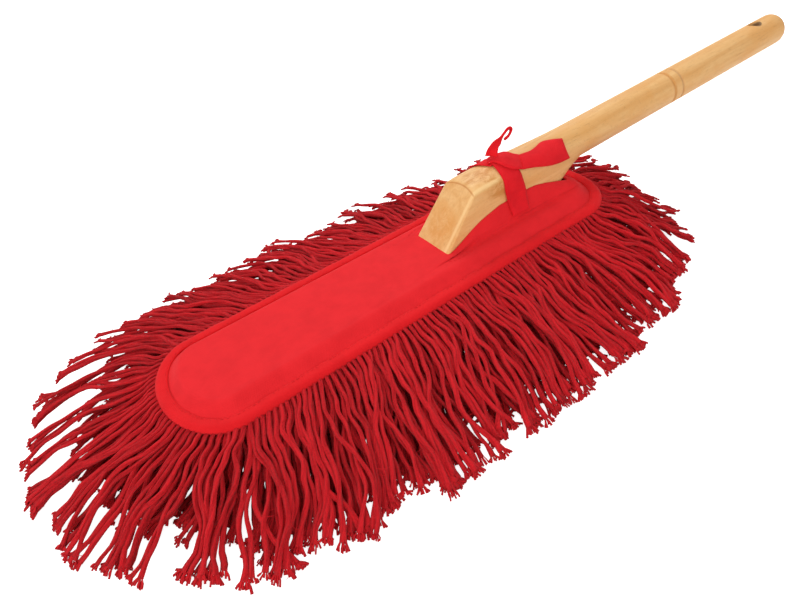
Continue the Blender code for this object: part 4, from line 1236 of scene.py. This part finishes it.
# %% How far the yarn reaches
yarn_sections = 26
fibre_share = np.linspace(0.0, 1.0, yarn_sections) ** 0.94
tip_outline = np.array([
    (-0.260, -0.112), (-0.200, -0.133), (-0.150, -0.138), (-0.100, -0.139), (-0.050, -0.138),
    (0.000, -0.137), (0.045, -0.127), (0.080, -0.113), (0.115, -0.090), (0.131, -0.066),
    (0.145, -0.049), (0.153, -0.008), (0.161, 0.045), (0.143, 0.088), (0.110, 0.112),
    (0.060, 0.124), (0.000, 0.135), (-0.100, 0.1425), (-0.200, 0.1430), (-0.255, 0.139),
    (-0.292, 0.123), (-0.322, 0.083), (-0.337, 0.054), (-0.338, 0.015), (-0.326, -0.037),
    (-0.309, -0.062), (-0.294, -0.072), (-0.282, -0.093)])

def reach_to_tips(roots, headings):
    """Distance from each root, straight along its heading, to the outline of the cut ends.

    Where root + t h meets corner + s e: t = (gap x e) / (h x e), s = (gap x h) / (h x e)."""
    edge = (np.roll(tip_outline, -1, axis=0) - tip_outline)[None]
    gap = tip_outline[None] - roots[:, None]
    aim = headings[:, None]
    turned = aim[..., 0] * edge[..., 1] - aim[..., 1] * edge[..., 0]
    reach = (gap[..., 0] * edge[..., 1] - gap[..., 1] * edge[..., 0]) / turned
    spot = (gap[..., 0] * aim[..., 1] - gap[..., 1] * aim[..., 0]) / turned
    return np.where((reach > 0) & (spot >= 0) & (spot <= 1), reach, 1.0).min(axis=1)

print("outline of the yarn's ends:", len(tip_outline), "corners, x from",
      tip_outline[:, 0].min(), "to", tip_outline[:, 0].max())

# %% How the yarn wanders
def shared_random(source, count, group):
    """Random numbers from -1 to 1 that change smoothly from strand to strand."""
    knots = source.uniform(-1.0, 1.0, count // group + 3)
    return np.interp(np.arange(count) / group, np.arange(len(knots)), knots)


def sideways_wander(source, count, looseness, rear):
    """How far each strand strays sideways along its length.

    Two kinds of sine: long ones that neighbours share, and short ones of the strand's own;
    then small kinks, and a few strands that drift across the others."""
    share = fibre_share[None, :]
    wander = np.zeros((count, yarn_sections))
    for waves, amount, group, own in ((0.8, 0.0030, 11, 0.15), (1.5, 0.0012, 6, 0.35),
                                      (2.9, 0.0006, 3, 1.0), (5.3, 0.0003, 2, 2.0)):
        phase = 3.2 * shared_random(source, count, group) + own * source.uniform(-1, 1, count)
        strength = (1.0 + 0.9 * rear) * (1.0 + 0.45 * source.uniform(-1, 1, count))
        wave = np.sin(2 * np.pi * waves * share + phase[:, None]) - np.sin(phase[:, None])
        wander += amount * (0.55 + 0.45 * looseness) * strength[:, None] * wave
    crossing = source.uniform(0, 1, count) < 0.08 * looseness
    drift = np.where(crossing, source.choice([-1, 1], count) * source.uniform(0.004, 0.011, count),
                     source.normal(0.0, 0.0011, count) * looseness)
    wander += drift[:, None] * ease(share, 0.25, 0.75)
    kinks = source.normal(0.0, 0.00045, (count, 9))
    spot = np.clip(fibre_share * 8.0, 0.0, 7.999)
    low = spot.astype(int)
    wander += kinks[:, low] * (1.0 - spot + low) + kinks[:, low + 1] * (spot - low)
    return wander * ease(share, -0.02, 0.24), np.where(crossing, 0.0026, 0.0)


def bundles(seed, count, chance, least, most):
    """The bundle that each strand belongs to, how much shorter it is, and how tightly drawn."""
    source = np.random.default_rng(seed)
    group = np.cumsum(source.uniform(0, 1, 400) < chance)
    shorter = source.uniform(0, 1, group[-1] + 1) ** 1.5
    tight = source.uniform(least, most, group[-1] + 1)
    return group[:count], shorter[group[:count]], tight[group[:count]]


def drawn_together(plan, group, tight, width, start):
    """Strands of a bundle draw towards their common middle over the outer half."""
    total = np.zeros((group[-1] + 1,) + plan.shape[1:])
    np.add.at(total, group, plan)
    middle = total / np.bincount(group)[:, None, None]
    apart = np.linalg.norm(np.diff(plan[:, -6], axis=0, append=plan[-2:-1, -6]), axis=1)
    close = np.clip(1.0 - 0.85 * width / np.maximum(apart, 1e-4), 0.0, 0.9)
    pull = close * tight
    course = ease(fibre_share, start, 0.45) - 0.30 * ease(fibre_share, 0.86, 0.14)
    return plan + (middle[group] - plan) * (pull[:, None] * course)[..., None]


# %% Yarn paths
layer_step = 0.0013
seam_hump = 0.0034
swell_height = 0.0012

def strand_headings(source, roots, normals, looseness, rear):
    """The direction in the plane that each strand follows, as an angle at each section.

    It starts from the outward normal. To that come 0.55 to 1.3 of the lean, a slow bend that
    neighbours share, the strand's own curl near its end, and an S-bend on the rear's sides."""
    count = len(roots)
    share = fibre_share[None, :]
    lean = lean_angle(roots, normals)[:, None]
    bend = math.radians(8.0) * shared_random(source, count, 9)[:, None]
    sign = np.where(roots[:, 1:2] < 0, 1, -1)
    curl = source.normal(0.0, 0.12, count) + np.where(source.uniform(0, 1, count) < 0.05,
                                                      source.choice([-0.7, 0.7], count), 0.0)
    angle = (lean * (0.55 + 0.75 * share) + bend * share
             + looseness * curl[:, None] * ease(share, 0.45, 0.55)
             + (rear * np.abs(normals[:, 1]))[:, None] * sign * 0.45 * np.cos(share * 4.4))
    return np.arctan2(normals[:, 1], normals[:, 0])[:, None] + angle


def strand_levels(source, roots, normals, hop, height, floor_lift, drop_power, looseness):
    """How high each strand runs: floor + (height - floor) (1 - s^power), and what lifts it.

    Strands that drift across hop over the others, every second one comes to lie a step higher,
    each stands up at the seam by a hump of exp(-(distance / width)^2), and slow swells lift
    and sink the rest. On the far side the ends stay up to 12 mm above the floor."""
    count = len(roots)
    share = fibre_share[None, :]
    far = np.where(roots[:, 1] < 0, 0.0, 1.0) * np.abs(normals[:, 1])
    tip = floor_lift + far * source.uniform(0.002, 0.012, count) * looseness
    level = height - (height - tip[:, None]) * share ** drop_power
    level += hop[:, None] * np.sin(np.pi * share)
    level += layer_step * (np.arange(count) % 2)[:, None] * ease(share, 0.40, 0.4)
    level += seam_hump * np.exp(-((share - 0.055) / 0.065) ** 2)
    swell = np.sin(2.2 * np.pi * share + 3 * source.uniform(-1, 1, (count, 1)))
    strength = 0.6 * shared_random(source, count, 3) + 0.4 * source.uniform(-1, 1, count)
    swell = swell * strength[:, None]
    level += swell_height * swell * ease(share, 0.08, 0.3) * (1.0 - 0.5 * ease(share, 0.8, 0.2))
    return level


def yarn_paths(source, roots, normals, height, reach, scale, trim, floor_lift, drop_power,
               looseness, width, bundle=(0, 0.34, 0.3, 0.7)):
    """Centres of all strands of a row.

    Plan: root + reach * sum of (cos, sin) of the heading, plus the sideways wander; then the
    strands of each bundle draw together, nearer to their roots where the row faces forwards."""
    count = len(roots)
    group, group_shorter, tight = bundles(bundle[0], count, *bundle[1:])
    rear = ease(roots[:, 0], 0.030, 0.05)
    heading = strand_headings(source, roots, normals, looseness, rear)
    step = np.diff(fibre_share, prepend=0.0)[None, :]
    plan = np.stack([np.cumsum(np.cos(heading) * step, axis=1),
                     np.cumsum(np.sin(heading) * step, axis=1)], axis=2)
    if reach is None:
        straight = np.linalg.norm(plan[:, -1], axis=1)
        reach = reach_to_tips(roots, plan[:, -1] / straight[:, None]) / straight
    shorter = 0.70 * group_shorter + 0.30 * source.uniform(0, 1, count) ** 1.5
    plan = roots[:, None] + plan * (reach * scale * (1.0 - trim * shorter))[:, None, None]
    sideways = np.stack([-np.sin(heading), np.cos(heading)], axis=2)
    wander, hop = sideways_wander(source, count, looseness, rear)
    start = 0.52 - 0.22 * ease(-normals[:, 0], 0.1, 0.6).mean()
    plan = drawn_together(plan + sideways * wander[..., None], group, tight * looseness, width,
                          start)
    return raised(plan, strand_levels(source, roots, normals, hop, height, floor_lift,
                                      drop_power, looseness))

# %% Yarn skins: strands, brush ends and loose threads
def strand_sizes(source, count, width, height):
    """Half widths and heights: slow swelling, and a flare over the last tenth, the brush."""
    share = fibre_share[None, :]
    phase = source.uniform(0, 2 * np.pi, (count, 1))
    swell = 1.0 + 0.08 * np.sin(share * 17.0 + phase) + 0.06 * np.sin(share * 37.0 + 2 * phase)
    thick = source.uniform(0.84, 1.14, (count, 1))
    flare = ease(share, 0.88, 0.14) * source.uniform(0.15, 0.55, (count, 1))
    root = 0.84 + 0.16 * ease(share, 0.0, 0.12)
    return (width / 2 * swell * thick * root * (1.0 + flare),
            height / 2 * swell * thick * root * (1.0 - 0.32 * flare))


def rolled(source, side, over):
    """Turn the flattened section slowly round the strand, so that its broad side moves."""
    share = fibre_share[None, :]
    turn = 0.5 * np.sin(share * 5.0 + source.uniform(0, 2 * np.pi, (len(side), 1)))
    turn = (turn * (1.0 - ease(share, 0.72, 0.2)))[..., None]
    return side * np.cos(turn) + over * np.sin(turn), over * np.cos(turn) - side * np.sin(turn)


def brush_ends(source, centres, side, half_wide, half_high, fibres):
    """The unravelled end: flat tufts that start inside the strand and fan out past its cut.

    A tuft's place across is a in -1..1; its points are centre + side a w + forward l, with
    the fan's half width w growing and the tufts' lengths l a little uneven."""
    count = len(centres)
    across = np.linspace(-0.9, 0.9, fibres)[None] + source.uniform(-0.12, 0.12, (count, fibres))
    up = source.uniform(-0.6, 0.6, (count, fibres))
    forward = unit(centres[:, -1] - centres[:, -3])
    fan = source.uniform(0.45, 1.45, (count, 1))
    long = (source.uniform(0.0030, 0.0058, (count, 1))
            - source.uniform(0.0, 0.0019, (count, fibres)))
    paths = []
    for section, grow, reach in ((-3, 0.7, 0.0), (-1, 0.95, 0.0), (-1, 1.0, 0.5), (-1, 1.0, 1.0)):
        wide = half_wide[:, section][:, None] * (grow + fan * reach)
        spot = (centres[:, section][:, None] + forward[:, None] * (long * reach)[..., None]
                + side[:, section][:, None] * (across * wide)[..., None])
        spot[..., 2] += up * half_high[:, section][:, None] * (1.0 - 0.4 * reach)
        paths.append(spot)
    path = np.stack(paths, axis=2).reshape(-1, 4, 3)
    path[:, 2:, :2] += source.normal(0.0, 0.00022, (len(path), 2, 2))
    path[..., 2] = np.maximum(path[..., 2], 0.0006)
    flat, lift = directions(path)
    wide = (half_wide[:, -1][:, None] / fibres * np.array([0.9, 1.3, 1.75, 1.6]))
    wide[:, 2:] *= 1.0 + 0.8 * fan * np.array([0.5, 1.0])
    wide = np.repeat(wide, fibres, axis=0)
    return tubes(path, flat, lift, wide, np.minimum(wide * 1.2, 0.0008), 3, 0.1)


def loose_threads(source, centres, amount):
    """Single fibres that have worked loose: thin curved threads from the outer half."""
    count = int(len(centres) * amount)
    strand = source.integers(0, len(centres), count)
    section = source.integers(yarn_sections * 6 // 10, yarn_sections - 1, count)
    start = centres[strand, section]
    forward = centres[strand, section + 1] - centres[strand, section - 1]
    heading = np.arctan2(forward[:, 1], forward[:, 0]) + source.uniform(-0.9, 0.9, count)
    length = source.uniform(0.004, 0.013, count)
    share = np.linspace(0.0, 1.0, 6)[None, :]
    curl = source.uniform(-1.5, 1.5, count)[:, None] * share
    reach = length[:, None] * share
    rise = 0.0020 * np.sin(np.pi * share) * source.uniform(0.0, 1.0, (count, 1))
    path = np.stack([start[:, :1] + reach * np.cos(heading[:, None] + curl),
                     start[:, 1:2] + reach * np.sin(heading[:, None] + curl),
                     start[:, 2:3] + rise - 0.3 * reach * (start[:, 2:3] > 0.006)], axis=2)
    path[..., 2] = np.maximum(path[..., 2], 0.0003)
    flat, lift = directions(path)
    thin = np.broadcast_to(0.00022 * (1.0 - 0.5 * share), path.shape[:2])
    return tubes(path, flat, lift, thin, thin, 3, 0.05)

# %% Make one slice of a yarn row
def tinted(skin, tones):
    """Each point's tone, when the points belong in equal runs to the given tones."""
    return np.repeat(tones, len(skin[0]) // len(tones))


def yarn_slice(name, nodes, layers, seed, threads=0.4, fibres=7):
    """All strands of a slice in one piece, from layers of (paths, width, height, tone)."""
    source = np.random.default_rng(seed)
    skins, tints = [], []
    for centres, width, height, tone in layers:
        half_wide, half_high = strand_sizes(source, len(centres), width, height)
        centres[..., 2] = np.maximum(centres[..., 2], half_high * 0.75)
        side, over = directions(centres)
        tones = tone + source.normal(0.0, 0.13, len(centres))
        brush = brush_ends(source, centres, side, half_wide, half_high, fibres)
        side, over = rolled(source, side, over)
        strands = tubes(centres, side, over, half_wide, half_high, 8)
        hairs = loose_threads(source, centres, threads)
        skins += [strands, brush, hairs]
        # Painted light: brush ends and loose threads get tones 0.6 higher, so that they stay as
        # bright as the strands though they lie in shade near the floor.
        tints += [tinted(strands, tones), tinted(brush, tones + 0.6),
                  tinted(hairs, np.array([tone + 0.6]))]
    print(sum(len(layer[0]) for layer in layers), "strands in", name)
    points, faces, uvs = joined(*skins)
    points[:, 2] = np.maximum(points[:, 2], 0.0)
    return make_piece(name, points, faces, uvs, yarn, nodes=nodes, slot="yarn",
                      tint=np.concatenate(tints))


def outline_shares(inset):
    """Shares of the outline where the straight sides begin and end."""
    along = travelled(ring_of(cover_oval(inset)))
    return along[cap_points] / along[-1], along[cap_points + side_points] / along[-1]


def row_layer(number, side, layer, dense=1.0, short=1.0):
    """One layer of one slice: roots at an even pitch on the outline, then paths to the tips."""
    seed, inset, pitch, phase, height, scale, trim, lift, power, looseness, width, tone = layer
    first, last = outline_shares(inset)
    start, end = {"front": (-first, first), "near": (first, last), "rear": (last, 1 - last),
                  "far": (1 - last, 1 - first)}[side]
    roots, normals = rim_points(inset, start, end, pitch * dense, phase)
    paths = yarn_paths(np.random.default_rng(seed + number), roots, normals, height, None,
                       scale * short, trim, lift, power, looseness, width, side_bundles[side])
    return paths, width, width * 0.86, tone + side_painted_shading[side]

# %% Upper and lower rows
# Each layer: seed, roots' inset from the rim, their pitch and phase, their height, the share
# of the way to the tips, how much a strand may be cut shorter, the tips' height, the power of
# the drop, looseness, the strands' width, and the tone that picks the yarn's colour. The
# tones drop from layer to layer: painted shade on the rows that lie under the others.
upper_layers = ((100, 0.0030, 0.0038, 0.50, 0.0318, 1.00, 0.16, 0.0034, 1.80, 1.0, 0.0029, 0.68),
                (110, 0.0034, 0.0038, 0.01, 0.0300, 0.98, 0.18, 0.0028, 1.62, 1.0, 0.0029, 0.56),
                (180, 0.0038, 0.0038, 0.30, 0.0280, 0.88, 0.22, 0.0022, 1.38, 0.9, 0.0030, 0.55))
lower_layers = ((130, 0.0140, 0.0037, 0.50, 0.0325, 0.80, 0.20, 0.0017, 1.00, 0.6, 0.0033, 0.46),
                (190, 0.0140, 0.0037, 0.02, 0.0310, 0.74, 0.16, 0.0016, 0.75, 0.4, 0.0034, 0.36),
                (200, 0.0145, 0.0037, 0.25, 0.0300, 0.68, 0.12, 0.0016, 0.55, 0.2, 0.0036, 0.28))
# Each side: the seed of its bundles, the chance that a strand starts a new one, and the least
# and most that a bundle draws together.
side_bundles = {"front": (301, 0.38, 0.85, 1.0), "near": (302, 0.30, 0.00, 0.45),
                "rear": (303, 0.40, 0.5, 1.0), "far": (304, 0.30, 0.2, 0.8)}
# Painted light and shade by side: the near side's yarn is made lighter, the rear's darker, the
# front and far a little darker.
side_painted_shading = {"front": -0.02, "near": 0.05, "rear": -0.08, "far": -0.03}

for number, side in enumerate(("front", "near", "rear", "far")):
    dense, short = {"front": (0.72, 0.80), "rear": (0.72, 0.90)}.get(side, (1.0, 1.0))
    upper = [row_layer(number, side, layer, short=cut)
             for layer, cut in zip(upper_layers, (1.0, 1.0, short))]
    yarn_slice("upper_yarn_" + side, ("upper_fringe_" + side,), upper, 120 + number)
    lower = [row_layer(number, side, layer, dense, short) for layer in lower_layers]
    yarn_slice("lower_yarn_" + side, ("lower_fringe_" + side,), lower, 140 + number, 0.2, 5)

# %% [markdown]
# ## Yarn under the middle
#
# Two more rows are sewn under the backing, so that the duster wipes with its whole face. The
# strands of a row fall to both sides of their seam. They only show from below.

# %% Under rows
def under_layer(seed, sign, inwards, tone, count=58, width=0.0039):
    """Roots on a straight seam; the strands run outwards, or inwards across the middle."""
    source = np.random.default_rng(seed)
    x = cover_front + 0.030 + (cover_length - 0.060) * (np.arange(count) + 0.5) / count
    roots = np.stack([x, np.full(count, sign * (0.0150 if inwards else 0.0175))], axis=1)
    heading = -sign if inwards else sign
    normals = np.stack([np.zeros(count), np.full(count, float(heading))], axis=1)
    reach = (0.030 if inwards else 0.045) * source.uniform(0.85, 1.0, count)
    paths = yarn_paths(source, roots, normals, 0.0318, reach, 1.0, 0.1, 0.0016, 0.55, 0.5, width)
    return paths, width, 0.0032, tone

for number, (side, sign) in enumerate((("near", -1), ("far", 1))):
    # The under rows get low tones too: painted shade under the duster.
    layers = [under_layer(150 + number, sign, False, 0.4),
              under_layer(160 + number, sign, True, 0.3)]
    yarn_slice("under_yarn_" + side, ("under_fringe_" + side,), layers, 170 + number, 0.1, 5)

# %% [markdown]
# ## The cover's flat size
#
# The area inside the cover's cut outline is worked out.

# %% Flat size of the cover's outline
def flat_area(path):
    """Area inside a closed outline: half the sum of x1 y2 - x2 y1 along it."""
    after = np.roll(path, -1, axis=0)
    return abs(np.sum(path[:, 0] * after[:, 1] - after[:, 0] * path[:, 1])) / 2

cut_area = flat_area(cover_oval(0.0))
